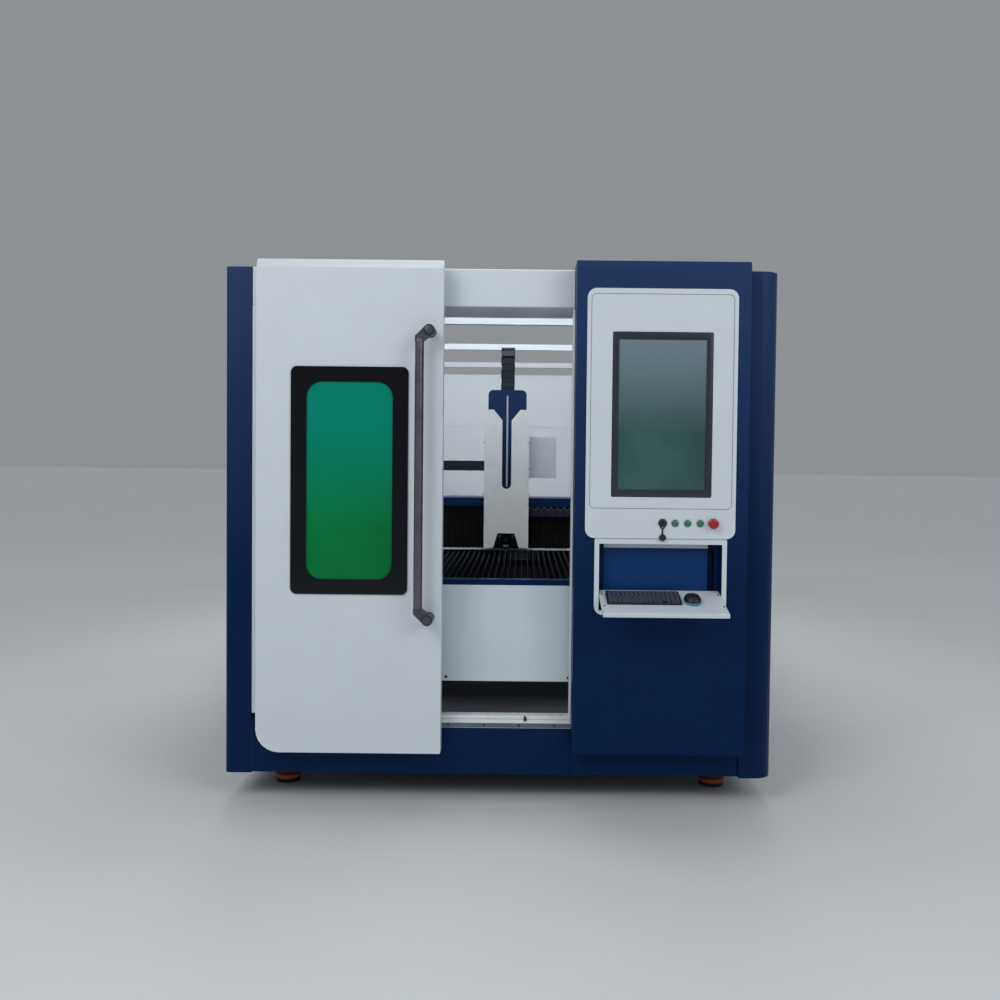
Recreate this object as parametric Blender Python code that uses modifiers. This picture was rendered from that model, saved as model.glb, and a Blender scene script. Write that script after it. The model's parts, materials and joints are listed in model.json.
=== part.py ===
"""Enclosed laser cutting machine with a sliding front door and a fold-down keyboard tray.

Metres, +Z up. The front faces -Y and +X is to the right of someone in front of it.
Depths are measured back from the plane of the front wall. The origin lies on the
floor, at the centre of the machine's outer box.
"""
import math

import bmesh
import bpy
from mathutils import Matrix, Vector

# Clearances
SEAT = 0.0003
RUNNING = 0.0005
SWING = 0.003

# Enclosure
HALF_WIDTH = 1.09
DEPTH = 3.37
FOOT_HEIGHT = 0.116
BASE_HEIGHT = 0.185
WALL_TOP = 2.116
PILLAR_DEPTH = 0.30
PILLAR_DROP = 0.004
LEFT_PILLAR_WIDTH = 0.1055
LEFT_PILLAR_RADIUS = 0.02
RIGHT_PILLAR_WIDTH = 0.1355
RIGHT_PILLAR_RADIUS = 0.07
RIGHT_PILLAR_PROUD = 0.01
HEADER_HEIGHT = 0.148
HEADER_DEPTH = 0.29
HEADER_EDGE = 0.003
ROOF_DROP = 0.026
ROOF_TUBE = 0.035
ROOF_BEAM_WIDTH = 0.04
ROOF_BEAM_PITCH = 1.11
REAR_POST_WIDTH = 0.05
REAR_POST_DEPTH = 0.06
SIDE_PANEL_THICKNESS = 0.03
SIDE_PANEL_BAYS = 3
REAR_PANEL_DROP = 0.053
REAR_PANEL_THICKNESS = 0.025
REAR_CREASE_DROP = 0.391
PANEL_JOINT = 0.005
PANEL_JOINT_DEPTH = 0.003
SHEET_EDGE = 0.002

# Base, feet and scrap pan
BASE_FRONT_DEPTH = 0.20
BASE_SIDE_WIDTH = 0.38
BASE_REAR_DEPTH = 0.20
FOOT_RADIUS = 0.055
FOOT_RING_RADIUS = 0.05
FOOT_RING_HEIGHT = 0.03
FOOT_PAD_HEIGHT = 0.012
FOOT_NUT_RADIUS = 0.028
FOOT_NUT_HEIGHT = 0.02
FOOT_STUD_RADIUS = 0.018
FOOT_SIDE_INSET = 0.19
FOOT_END_INSET = 0.26
PAN_RIM = 0.024
PAN_SHEET = 0.003
SILL_HEIGHT = 0.029
SILL_WIDTH = 0.048
SILL_INSET = 0.055
TRACK_HEIGHT = 0.020
TRACK_WIDTH = 0.08
SILL_GROOVE = 0.004
JAMB_WIDTH = 0.0075
JAMB_FRONT = 0.012

# Bed
BED_FRONT = 0.12
BED_REAR_SPACE = 0.09
BED_SIDE_SPACE = 0.0095
BED_BEAM_WIDTH = 0.20
BED_BEAM_TOP = 0.80
BED_RAIL_RISE = 0.079
BED_RAIL_HEIGHT = 0.119
BED_RAIL_WIDTH = 0.042
APRON_SIDE_INSET = 0.095
APRON_DROP = 0.023
APRON_HEIGHT = 0.394
APRON_SHEET = 0.003
SLAT_PITCH = 0.028
SLAT_THICKNESS = 0.004
SLAT_HEIGHT = 0.079
SLAT_TOOTH_DEPTH = 0.018
SLAT_TEETH = 8
SLAT_REAR_SPACE = 0.31
SLAT_BAR_WIDTH = 0.012
SLAT_BAR_HEIGHT = 0.04
SLAT_BAR_DROP = 0.025
LEDGE_WIDTH = 0.025
LEDGE_THICKNESS = 0.01
Y_RAIL_INSET = 0.045
Y_RAIL_WIDTH = 0.022
Y_RAIL_HEIGHT = 0.03
Y_RAIL_START = 0.30
Y_RACK_WIDTH = 0.02
Y_RACK_HEIGHT = 0.014
Y_RACK_TOOTH = 0.05
Y_RACK_TOOTH_HEIGHT = 0.004

# Fixed front panel and sliding door
FRONT_SHEET = 0.012
DOOR_LAP = 0.179
DOOR_PROUD = 0.10
DOOR_THICKNESS = 0.06
DOOR_INSET = 0.043
DOOR_WIDTH = 0.717
DOOR_LOW = 0.076
DOOR_RISE = 0.0155
DOOR_CORNER = 0.09
DOOR_CHAMFER_HEIGHT = 0.034
DOOR_CHAMFER_DEPTH = 0.02
DOOR_SKIN = 0.004
DOOR_FRAME = 0.03
DOOR_TOP_FRAME = 0.085
SMALL_RADIUS = 0.004
WINDOW_LEFT_INSET = 0.134
WINDOW_RIGHT_INSET = 0.132
WINDOW_RISE = 0.618
WINDOW_DROP = 0.4125
WINDOW_RADIUS = 0.023
WINDOW_BORDER_SIDE = 0.06
WINDOW_BORDER_END = 0.058
WINDOW_GLASS_RADIUS = 0.06
WINDOW_FRAME_THICKNESS = 0.005
GLASS_LAP = 0.014
GLASS_THICKNESS = 0.006
HANDLE_INSET = 0.084
HANDLE_STANDOFF = 0.065
HANDLE_RADIUS = 0.017
HANDLE_RISE = 0.575
HANDLE_DROP = 0.3215
BOSS_OFFSET_X = 0.029
BOSS_OFFSET_Z = 0.05
BOSS_RADIUS = 0.0225
BRACKET_COLLAR = 0.014
BRACKET_COLLAR_RADIUS = 0.0185
BRACKET_NECK_RADIUS = 0.015
RAIL_SIZE = 0.015
RAIL_DEPTH_BACK = 0.14
RAIL_BED = 0.02
RAIL_END_GAP = 0.0075
RUNNER_LENGTH = 0.09
RUNNER_INSET = 0.06
RUNNER_WALL = 0.012
RUNNER_ARM = 0.0085
RUNNER_FOOT_DROP = 0.066
RUNNER_FOOT_THICKNESS = 0.010

# Control cabinet
CABINET_WIDTH = 0.6687
CABINET_PROUD = 0.10
CABINET_REAR = 0.11
CABINET_LOW = 0.071
CABINET_RISE = 0.019
CABINET_CHAMFER_HEIGHT = 0.025
CABINET_CHAMFER_DEPTH = 0.008
PANEL_LEFT_INSET = 0.041
PANEL_RIGHT_INSET = 0.0497
PANEL_BOTTOM = 1.071
PANEL_DROP = 0.107
PANEL_RADIUS = 0.035
PANEL_THICKNESS = 0.006
PANEL_SEAM_INSET = 0.015
PANEL_SEAM_BOTTOM = 0.114
PANEL_SEAM_TOP = 0.020
PANEL_SEAM_WIDTH = 0.002
PANEL_SEAM_DEPTH = 0.0015
SCREEN_LEFT_INSET = 0.098
SCREEN_RIGHT_INSET = 0.094
SCREEN_RISE = 0.159
SCREEN_DROP = 0.165
SCREEN_BORDER_SIDE = 0.025
SCREEN_BORDER_END = 0.029
SCREEN_RADIUS = 0.006
SCREEN_STAND = 0.0025
SCREEN_GLASS_THICKNESS = 0.004
CONTROL_ROW_RISE = 0.06
STOP_INSET = 0.087
BUTTONS_TO_STOP = 0.145
BUTTON_PITCH = 0.0483
BUTTON_COUNT = 3
BUTTON_RADIUS = 0.011
BUTTON_CHAMFER = 0.0016
BUTTON_STAND = 0.008
BUTTON_BODY = 0.0155
BUTTON_TRAVEL = 0.004
BUTTON_FLOOR = 0.0022
STOP_HEAD_RADIUS = 0.020
STOP_HEAD_HEIGHT = 0.015
STOP_RIM_HEIGHT = 0.0075
STOP_UNDER_RADIUS = 0.019
STOP_STEM_RADIUS = 0.0075
STOP_STEM_STAND = 0.014
STOP_TRAVEL = 0.005
STOP_FLOOR = 0.0012
PORT_TO_BUTTONS = 0.048
PORT_RADIUS = 0.012
PORT_STAND = 0.007
PORT_SLOT_WIDTH = 0.013
PORT_SLOT_HEIGHT = 0.005
CAP_PIN_DROP = 0.0165
CAP_PIN_RADIUS = 0.0016
CAP_DROP = 0.0395
CAP_RADIUS = 0.0095
CAP_THICKNESS = 0.0065
CAP_STRAP_WIDTH = 0.005
CAP_STRAP_THICKNESS = 0.0023
CAP_EYE_RADIUS = 0.0042

# Keyboard frame and tray
KEY_FRAME_LEFT_INSET = 0.038
KEY_FRAME_RIGHT_INSET = 0.030
KEY_FRAME_HEIGHT = 0.294
KEY_FRAME_GAP = 0.004
KEY_FRAME_BAR = 0.018
KEY_FRAME_RADIUS = 0.035
KEY_FRAME_SHEET = 0.003
RECESS_STEP_DEPTH = 0.056
RECESS_INSET = 0.02
RECESS_FLOOR = 0.012
TRAY_SLOPE = math.radians(14.2)
TRAY_LENGTH = 0.2295
TRAY_THICKNESS = 0.018
TRAY_EDGE = 0.002
TRAY_PIVOT_BACK = 0.036
TRAY_PIVOT_DOWN = 0.010
TRAY_PIVOT_RISE = 0.0735
TRAY_FLUSH = 0.002
TRAY_PIN_RADIUS = 0.004
TRAY_PIN_LENGTH = 0.010
KEYBOARD_WIDTH = 0.282
KEYBOARD_DEPTH = 0.108
KEYBOARD_HEIGHT = 0.018
KEYBOARD_EDGE = 0.004
KEYBOARD_INSET = 0.022
KEYBOARD_BACK = 0.042
MOUSE_WIDTH = 0.060
MOUSE_LENGTH = 0.100
MOUSE_HEIGHT = 0.030
MOUSE_GAP = 0.016
MOUSE_BACK = 0.058

# Gantry
GANTRY_START = 1.265
GANTRY_WEB_BACK = 0.065
GANTRY_DEPTH = 0.265
TRUCK_STAND = 0.0527
GANTRY_HEIGHT = 0.282
GANTRY_LIP = 0.011
GANTRY_FLANGE = 0.046
GANTRY_OVERHANG = 0.085
X_RAIL_SIZE = 0.025
X_RAIL_DEPTH = 0.020
X_RAIL_LOW = 0.057
X_RAIL_HIGH = 0.165
TRUCK_WIDTH = 0.13
TRUCK_LENGTH = 0.30
TRUCK_WRAP = 0.014
CROSS_TRAVEL = 0.62
BELLOWS_PLEATS = 22
BELLOWS_FOLD = 0.014
BELLOWS_SHEET = 0.0025
CHAIN_WIDTH = 0.05
CHAIN_HEIGHT = 0.057
CHAIN_RADIUS = 0.10
CHAIN_LINK = 0.042
CHAIN_NOTCH = 0.006
CHAIN_RISE = 0.1705
CHAIN_CLEARANCE = 0.005
CHAIN_FIXED_X = 0.02
CHAIN_BACK = 0.008
LINK_MIDDLE = 0.42
LINK_SHOULDER = 0.84
SHELF_THICKNESS = 0.010
SHELF_INSET = 0.205

# Cross carriage and cutting head
CARRIAGE_HALF_WIDTH = 0.095
CARRIAGE_STAND = 0.019
CARRIAGE_PLATE = 0.012
CARRIAGE_LOW = 0.022
CARRIAGE_HEIGHT = 0.755
Z_RAIL_X = 0.06
Z_RAIL_WIDTH = 0.010
Z_RAIL_DEPTH = 0.010
ARM_THICKNESS = 0.011
SIDE_PLATE_WIDTH = 0.1677
SIDE_PLATE_RISE = 0.369
SIDE_PLATE_HEIGHT = 0.22
SIDE_PLATE_SHEET = 0.004
HEAD_PLATE_HALF_WIDTH = 0.102
HEAD_PLATE_STAND = 0.031
HEAD_PLATE_THICKNESS = 0.0147
HEAD_PLATE_RISE = 0.08
HEAD_PLATE_HEIGHT = 0.757
HEAD_PLATE_RADIUS = 0.026
STRIP_HALF_WIDTH = 0.0045
STRIP_THICKNESS = 0.002
STRIP_RISE = 0.24
STRIP_DROP = 0.031
PAD_HALF_HEIGHT = 0.05
PAD_HALF_WIDTH = 0.016
PAD_LOW = 0.115
PAD_HIGH = 0.515
COVER_STAND = 0.095
COVER_HALF_WIDTH = 0.117
COVER_RISE = 0.002
COVER_HEIGHT = 0.725
COVER_SHEET = 0.003
COVER_LIP = 0.019
SHOULDER_X = 0.070
SLOT_HALF_WIDTH = 0.024
SHOULDER_DROP = 0.056
SLOT_RISE = 0.311
MOUTH_BOTTOM_HALF = 0.068
MOUTH_TOP_HALF = 0.044
MOUTH_HEIGHT = 0.077
HEAD_AXIS_STAND = 0.052
NOZZLE_GAP = 0.0055
NOZZLE_TIP_RADIUS = 0.0038
NOZZLE_RADIUS = 0.0113
NOZZLE_HEIGHT = 0.0185
HOLDER_RADIUS = 0.0173
HOLDER_LOW = 0.0255
HOLDER_HIGH = 0.0405
HEAD_RADIUS = 0.0315
HEAD_WAIST_RADIUS = 0.0252
COLLAR_LOW = 0.0505
COLLAR_HIGH = 0.0755
WAIST_LOW = 0.0805
WAIST_HIGH = 0.1205
BODY_LOW = 0.1255
HEAD_HEIGHT = 0.3205
HEAD_BLOCK_HALF = 0.040
HEAD_BLOCK_RISE = 0.1355
Z_CHAIN_HALF_WIDTH = 0.036
Z_CHAIN_STAND = 0.233
Z_CHAIN_HEIGHT = 0.024
Z_CHAIN_RADIUS = 0.055
Z_CHAIN_LINK = 0.036

# Places of the enclosure that follow from the sizes above
BASE_TOP = FOOT_HEIGHT + BASE_HEIGHT
HEADER_BOTTOM = WALL_TOP - HEADER_HEIGHT
LEFT_INNER_X = LEFT_PILLAR_WIDTH - HALF_WIDTH
ROOF_TOP = WALL_TOP - ROOF_DROP
ROOF_BOTTOM = ROOF_TOP - ROOF_TUBE
REAR_FRAME_FRONT = DEPTH - REAR_POST_DEPTH
REAR_PANEL_TOP = ROOF_BOTTOM - REAR_PANEL_DROP
REAR_CREASE_HEIGHT = REAR_PANEL_TOP - REAR_CREASE_DROP
POST_INNER_X = HALF_WIDTH - REAR_POST_WIDTH
FOOT_X = HALF_WIDTH - FOOT_SIDE_INSET
CABINET_RIGHT_X = HALF_WIDTH - RIGHT_PILLAR_WIDTH - SEAT
CABINET_LEFT_X = CABINET_RIGHT_X - CABINET_WIDTH
CABINET_BOTTOM = BASE_TOP - CABINET_LOW
CABINET_TOP = WALL_TOP + CABINET_RISE
HEADER_END_X = CABINET_LEFT_X - RUNNING
SILL_LEFT_X = LEFT_INNER_X + SILL_INSET

# Places of the bed that follow
BED_REAR = DEPTH - BED_REAR_SPACE
BED_HALF_WIDTH = HALF_WIDTH - RIGHT_PILLAR_WIDTH - BED_SIDE_SPACE
BED_INNER_X = BED_HALF_WIDTH - BED_BEAM_WIDTH
BED_RAIL_TOP = BED_BEAM_TOP + BED_RAIL_RISE
APRON_HALF_WIDTH = BED_HALF_WIDTH - APRON_SIDE_INSET
APRON_TOP = BED_RAIL_TOP - APRON_DROP
APRON_BOTTOM = APRON_TOP - APRON_HEIGHT
SLAT_REAR = BED_REAR - SLAT_REAR_SPACE
Y_RAIL_X = BED_HALF_WIDTH - Y_RAIL_INSET
Y_RAIL_FRONT = BED_FRONT + Y_RAIL_START
Y_RAIL_TOP = BED_BEAM_TOP + SEAT + Y_RAIL_HEIGHT

# Places of the door that follow
DOOR_LEFT_X = LEFT_INNER_X + DOOR_INSET
DOOR_RIGHT_X = DOOR_LEFT_X + DOOR_WIDTH
DOOR_BOTTOM = BASE_TOP - DOOR_LOW
DOOR_TOP = WALL_TOP + DOOR_RISE
LOADING_LEFT_X = DOOR_RIGHT_X - DOOR_LAP
WINDOW_LEFT_X = DOOR_LEFT_X + WINDOW_LEFT_INSET
WINDOW_RIGHT_X = DOOR_RIGHT_X - WINDOW_RIGHT_INSET
WINDOW_BOTTOM = DOOR_BOTTOM + WINDOW_RISE
WINDOW_TOP = DOOR_TOP - WINDOW_DROP
HANDLE_X = DOOR_RIGHT_X - HANDLE_INSET
HANDLE_BOTTOM = DOOR_BOTTOM + HANDLE_RISE
HANDLE_TOP = DOOR_TOP - HANDLE_DROP
RAIL_RIGHT_X = HEADER_END_X - RAIL_END_GAP

# Places of the control panel and tray that follow
PANEL_LEFT_X = CABINET_LEFT_X + PANEL_LEFT_INSET
PANEL_RIGHT_X = CABINET_RIGHT_X - PANEL_RIGHT_INSET
PANEL_TOP = CABINET_TOP - PANEL_DROP
PANEL_FACE = -CABINET_PROUD - SEAT - PANEL_THICKNESS
SCREEN_LEFT_X = PANEL_LEFT_X + SCREEN_LEFT_INSET
SCREEN_RIGHT_X = PANEL_RIGHT_X - SCREEN_RIGHT_INSET
SCREEN_BOTTOM = PANEL_BOTTOM + SCREEN_RISE
SCREEN_TOP = PANEL_TOP - SCREEN_DROP
CONTROL_ROW_Z = PANEL_BOTTOM + CONTROL_ROW_RISE
STOP_X = PANEL_RIGHT_X - STOP_INSET
BUTTON_FIRST_X = STOP_X - BUTTONS_TO_STOP
PORT_X = BUTTON_FIRST_X - PORT_TO_BUTTONS
BUTTON_POCKET = BUTTON_BODY - SEAT - PANEL_THICKNESS + BUTTON_TRAVEL + BUTTON_FLOOR
STOP_POCKET = BUTTON_BODY - SEAT - PANEL_THICKNESS + STOP_TRAVEL + STOP_FLOOR
KEY_FRAME_LEFT_X = PANEL_LEFT_X + KEY_FRAME_LEFT_INSET
KEY_FRAME_RIGHT_X = PANEL_RIGHT_X - KEY_FRAME_RIGHT_INSET
KEY_FRAME_TOP = PANEL_BOTTOM - KEY_FRAME_GAP
KEY_FRAME_BOTTOM = KEY_FRAME_TOP - KEY_FRAME_HEIGHT
RECESS_LEFT_X = KEY_FRAME_LEFT_X + KEY_FRAME_BAR
RECESS_RIGHT_X = KEY_FRAME_RIGHT_X - KEY_FRAME_BAR
RECESS_BOTTOM = KEY_FRAME_BOTTOM + KEY_FRAME_BAR
RECESS_TOP = KEY_FRAME_TOP - KEY_FRAME_BAR
TRAY_LEFT_X = RECESS_LEFT_X + SWING
TRAY_RIGHT_X = RECESS_RIGHT_X - SWING
TRAY_PIVOT_Z = KEY_FRAME_BOTTOM + TRAY_PIVOT_RISE
TRAY_PIVOT_DEPTH = -CABINET_PROUD + TRAY_FLUSH + TRAY_THICKNESS - TRAY_PIVOT_DOWN
TRAY_REACH = TRAY_LENGTH - TRAY_PIVOT_BACK
FRONT_REACH = TRAY_REACH * math.cos(TRAY_SLOPE) + TRAY_PIVOT_DOWN * math.sin(TRAY_SLOPE) - TRAY_PIVOT_DEPTH
FRONT_Y = (FRONT_REACH - DEPTH) / 2

# Places of the gantry, carriage and head that follow
GANTRY_FRONT = BED_FRONT + GANTRY_START
GANTRY_WEB = GANTRY_FRONT + GANTRY_WEB_BACK
GANTRY_REAR = GANTRY_FRONT + GANTRY_DEPTH
GANTRY_BOTTOM = Y_RAIL_TOP + TRUCK_STAND
GANTRY_TOP = GANTRY_BOTTOM + GANTRY_HEIGHT
GANTRY_HALF_LENGTH = Y_RAIL_X + GANTRY_OVERHANG
X_RAIL_LOW_Z = GANTRY_BOTTOM + X_RAIL_LOW
X_RAIL_HIGH_Z = GANTRY_BOTTOM + X_RAIL_HIGH
CHAIN_UPPER_Z = GANTRY_TOP + CHAIN_RISE
CHAIN_LOWER_Z = CHAIN_UPPER_Z - 2 * CHAIN_RADIUS
CHAIN_FRONT = GANTRY_REAR + CHAIN_BACK
CHAIN_BEND_X = -CARRIAGE_HALF_WIDTH - CROSS_TRAVEL / 2 - CHAIN_CLEARANCE
SHELF_END_X = SHELF_INSET - GANTRY_HALF_LENGTH
CARRIAGE_FACE = GANTRY_FRONT - CARRIAGE_STAND
CARRIAGE_BOTTOM = GANTRY_BOTTOM + CARRIAGE_LOW
CARRIAGE_TOP = CARRIAGE_BOTTOM + CARRIAGE_HEIGHT
SIDE_PLATE_BOTTOM = CARRIAGE_BOTTOM + SIDE_PLATE_RISE
SIDE_PLATE_TOP = SIDE_PLATE_BOTTOM + SIDE_PLATE_HEIGHT
HEAD_PLATE_FRONT = CARRIAGE_FACE - HEAD_PLATE_STAND
HEAD_PLATE_BOTTOM = CARRIAGE_BOTTOM + HEAD_PLATE_RISE
HEAD_PLATE_TOP = HEAD_PLATE_BOTTOM + HEAD_PLATE_HEIGHT
COVER_FRONT = HEAD_PLATE_FRONT - COVER_STAND
COVER_BOTTOM = CARRIAGE_BOTTOM + COVER_RISE
COVER_TOP = COVER_BOTTOM + COVER_HEIGHT
SLOT_TOP = COVER_TOP - SHOULDER_DROP
SLOT_BOTTOM = COVER_BOTTOM + SLOT_RISE
MOUTH_TOP = COVER_BOTTOM + MOUTH_HEIGHT
HEAD_AXIS = HEAD_PLATE_FRONT - HEAD_AXIS_STAND
NOZZLE_TIP = BED_RAIL_TOP + NOZZLE_GAP
HEAD_TOP = NOZZLE_TIP + HEAD_HEIGHT
Z_CHAIN_TOP = HEAD_PLATE_TOP + Z_CHAIN_STAND

# Steps of round shapes
ARC_STEPS = 6
ROUND_STEPS = 24
BORE_STEPS = 16
PIN_STEPS = 12
FOOT_STEPS = 16

MATERIALS = {
    "navy_paint": ("13264F", 0.42, 0.0),
    "white_paint": ("E4E8EA", 0.45, 0.0),
    "black_paint": ("16181C", 0.50, 0.0),
    "dark_steel": ("2B2F36", 0.45, 0.9),
    "satin_steel": ("A9B4BF", 0.35, 1.0),
    "slat_steel": ("23262E", 0.60, 0.8),
    "rail_steel": ("B9BDC2", 0.25, 1.0),
    "handle_bronze": ("464244", 0.35, 0.8),
    "bellows_cloth": ("121318", 0.75, 0.0),
    "chain_plastic": ("26282E", 0.50, 0.0),
    "safety_glass": ("007341", 0.08, 0.0),
    "screen_glass": ("20282C", 0.10, 0.0),
    "grey_sheet": ("B4BCC4", 0.40, 0.6),
    "button_green": ("007D5A", 0.30, 0.0),
    "stop_red": ("AA1E28", 0.35, 0.0),
    "key_plastic": ("3C4854", 0.50, 0.0),
    "mouse_plastic": ("1496AA", 0.35, 0.0),
    "black_rubber": ("1A1A1C", 0.70, 0.0),
}


def clear_scene():
    """Remove whatever the file holds before the model is built."""
    for found in list(bpy.data.objects):
        bpy.data.objects.remove(found, do_unlink=True)


def new_collection(name):
    """Return a new collection linked to the scene."""
    made = bpy.data.collections.new(name)
    bpy.context.scene.collection.children.link(made)
    return made


def linear(channel):
    """Turn one sRGB channel into linear light."""
    if channel <= 0.04045:
        return channel / 12.92
    return ((channel + 0.055) / 1.055) ** 2.4


def finish(name):
    """Return the named Principled material, made on first use."""
    if name in bpy.data.materials:
        return bpy.data.materials[name]
    code, roughness, metallic = MATERIALS[name]
    made = bpy.data.materials.new(name)
    made.use_nodes = True
    shader = made.node_tree.nodes["Principled BSDF"]
    channels = [linear(int(code[n:n + 2], 16) / 255) for n in (0, 2, 4)]
    shader.inputs["Base Color"].default_value = (*channels, 1.0)
    shader.inputs["Roughness"].default_value = roughness
    shader.inputs["Metallic"].default_value = metallic
    return made


def place(name, mesh, location, material=None):
    """Link a mesh as a named piece, or as a cutter when it has no material."""
    made = bpy.data.objects.new(name, mesh)
    made.location = location
    if material is None:
        CUTTERS.objects.link(made)
        made.hide_render = True
        made.display_type = "WIRE"
    else:
        PARTS.objects.link(made)
        mesh.materials.clear()
        mesh.materials.append(finish(material))
    return made


def at(x, depth, z):
    """Return the world point at a depth behind the front wall."""
    return Vector((x, FRONT_Y + depth, z))


def cube_mesh(name, size):
    """Return a box mesh centred on its origin."""
    mesh = bpy.data.meshes.new(name)
    shape = bmesh.new()
    bmesh.ops.create_cube(shape, size=1.0, matrix=Matrix.Diagonal((*size, 1.0)))
    shape.to_mesh(mesh)
    shape.free()
    return mesh


def block(name, x_range, depth_range, z_range, material=None, edge=0.0):
    """Make a box between two corners, with its edges eased by a bevel."""
    low = at(x_range[0], depth_range[0], z_range[0])
    high = at(x_range[1], depth_range[1], z_range[1])
    made = place(name, cube_mesh(name, high - low), (low + high) / 2, material)
    if edge > 0:
        ease(made, edge)
    return made


def ease(piece, width, segments=1):
    """Bevel the sharp edges of a piece."""
    bevel = piece.modifiers.new("edges", "BEVEL")
    bevel.width = width
    bevel.segments = segments
    bevel.limit_method = "ANGLE"
    bevel.angle_limit = math.radians(50)


def rod(name, radius, start, end, material=None, segments=ROUND_STEPS):
    """Make a round bar between two depth points."""
    first = at(*start)
    last = at(*end)
    mesh = bpy.data.meshes.new(name)
    shape = bmesh.new()
    turn = (last - first).to_track_quat("Z", "Y").to_matrix().to_4x4()
    bmesh.ops.create_cone(shape, cap_ends=True, segments=segments, radius1=radius,
                          radius2=radius, depth=(last - first).length, matrix=turn)
    shape.to_mesh(mesh)
    shape.free()
    smooth(mesh)
    return place(name, mesh, (first + last) / 2, material)


def smooth(mesh):
    """Shade a round mesh smooth and keep its corners sharp."""
    mesh.shade_smooth()
    mesh.set_sharp_from_angle(angle=math.radians(40))


def turned(name, profile, location, facing, material=None, steps=ROUND_STEPS):
    """Turn a profile of (radius, height) points that runs from its top down."""
    mesh = bpy.data.meshes.new(name)
    points = [(radius, 0.0, height) for radius, height in profile]
    mesh.from_pydata(points, [(n, n + 1) for n in range(len(points) - 1)], [])
    made = place(name, mesh, location, material)
    if facing == "FRONT":
        made.rotation_euler = (math.pi / 2, 0.0, 0.0)
    screw = made.modifiers.new("turn", "SCREW")
    screw.steps = steps
    screw.render_steps = steps
    screw.use_merge_vertices = True
    screw.merge_threshold = 0.00001
    return made


def flat_piece(name, outlines, thickness, facing, centre, material=None):
    """Cut a plate from closed outlines, the first the rim and the rest its holes.

    FRONT outlines are (x, z), SIDE outlines are (depth, z) and TOP outlines are
    (x, depth). centre is the middle of the thickness on the remaining axis.
    """
    curve = bpy.data.curves.new(name, "CURVE")
    curve.dimensions = "2D"
    curve.fill_mode = "BOTH"
    curve.extrude = thickness / 2
    for outline in outlines:
        spline = curve.splines.new("POLY")
        spline.points.add(len(outline) - 1)
        for point, (across, up) in zip(spline.points, outline):
            point.co = (across, up, 0.0, 1.0)
        spline.use_cyclic_u = True
    drawn = bpy.data.objects.new(name + "_outline", curve)
    if facing == "FRONT":
        drawn.rotation_euler = (math.pi / 2, 0.0, 0.0)
        drawn.location = at(0.0, centre, 0.0)
    elif facing == "SIDE":
        drawn.rotation_euler = (math.pi / 2, 0.0, math.pi / 2)
        drawn.location = at(centre, 0.0, 0.0)
    else:
        drawn.location = at(0.0, 0.0, centre)
    return solid_from(drawn, name, material)


def solid_from(curve_object, name, material):
    """Replace a curve object by a closed mesh of the same shape and place."""
    bpy.context.scene.collection.objects.link(curve_object)
    bpy.context.view_layer.update()
    graph = bpy.context.evaluated_depsgraph_get()
    mesh = bpy.data.meshes.new_from_object(curve_object.evaluated_get(graph))
    matrix = curve_object.matrix_world.copy()
    bpy.data.objects.remove(curve_object, do_unlink=True)
    shape = bmesh.new()
    shape.from_mesh(mesh)
    bmesh.ops.remove_doubles(shape, verts=shape.verts, dist=0.00001)
    bmesh.ops.recalc_face_normals(shape, faces=shape.faces)
    shape.to_mesh(mesh)
    shape.free()
    mesh.name = name
    made = place(name, mesh, (0.0, 0.0, 0.0), material)
    made.matrix_world = matrix
    return made


def combine(piece, tool, operation):
    """Cut a tool from a piece, or weld it on, with an exact Boolean."""
    change = piece.modifiers.new(operation.lower(), "BOOLEAN")
    change.operation = operation
    change.solver = "EXACT"
    change.object = tool
    return piece


def cut(piece, *tools):
    """Cut tools from a piece."""
    for tool in tools:
        combine(piece, tool, "DIFFERENCE")
    return piece


def weld(piece, *tools):
    """Weld further shapes onto a piece."""
    for tool in tools:
        combine(piece, tool, "UNION")
    return piece


def corner(centre, radius, start):
    """Return points of a quarter circle that runs anticlockwise from an angle."""
    if radius <= 0:
        return [centre]
    angles = [start + math.pi / 2 * n / ARC_STEPS for n in range(ARC_STEPS + 1)]
    return [(centre[0] + radius * math.cos(a), centre[1] + radius * math.sin(a))
            for a in angles]


def rounded(low, high, radii):
    """Return a rectangle with its corners rounded, from bottom left anticlockwise."""
    if isinstance(radii, float):
        radii = (radii,) * 4
    (x0, z0), (x1, z1) = low, high
    r0, r1, r2, r3 = radii
    return (
        corner((x0 + r0, z0 + r0), r0, math.pi)
        + corner((x1 - r1, z0 + r1), r1, -math.pi / 2)
        + corner((x1 - r2, z1 - r2), r2, 0.0)
        + corner((x0 + r3, z1 - r3), r3, math.pi / 2)
    )


def loft(name, rings, location, material):
    """Skin a run of like rings and cap its two ends."""
    mesh = bpy.data.meshes.new(name)
    shape = bmesh.new()
    made = [[shape.verts.new(point) for point in ring] for ring in rings]
    count = len(rings[0])
    for first, second in zip(made, made[1:]):
        for n in range(count):
            after = (n + 1) % count
            shape.faces.new((first[n], first[after], second[after], second[n]))
    shape.faces.new(list(reversed(made[0])))
    shape.faces.new(made[-1])
    bmesh.ops.recalc_face_normals(shape, faces=shape.faces)
    shape.to_mesh(mesh)
    shape.free()
    return place(name, mesh, location, material)


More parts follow.
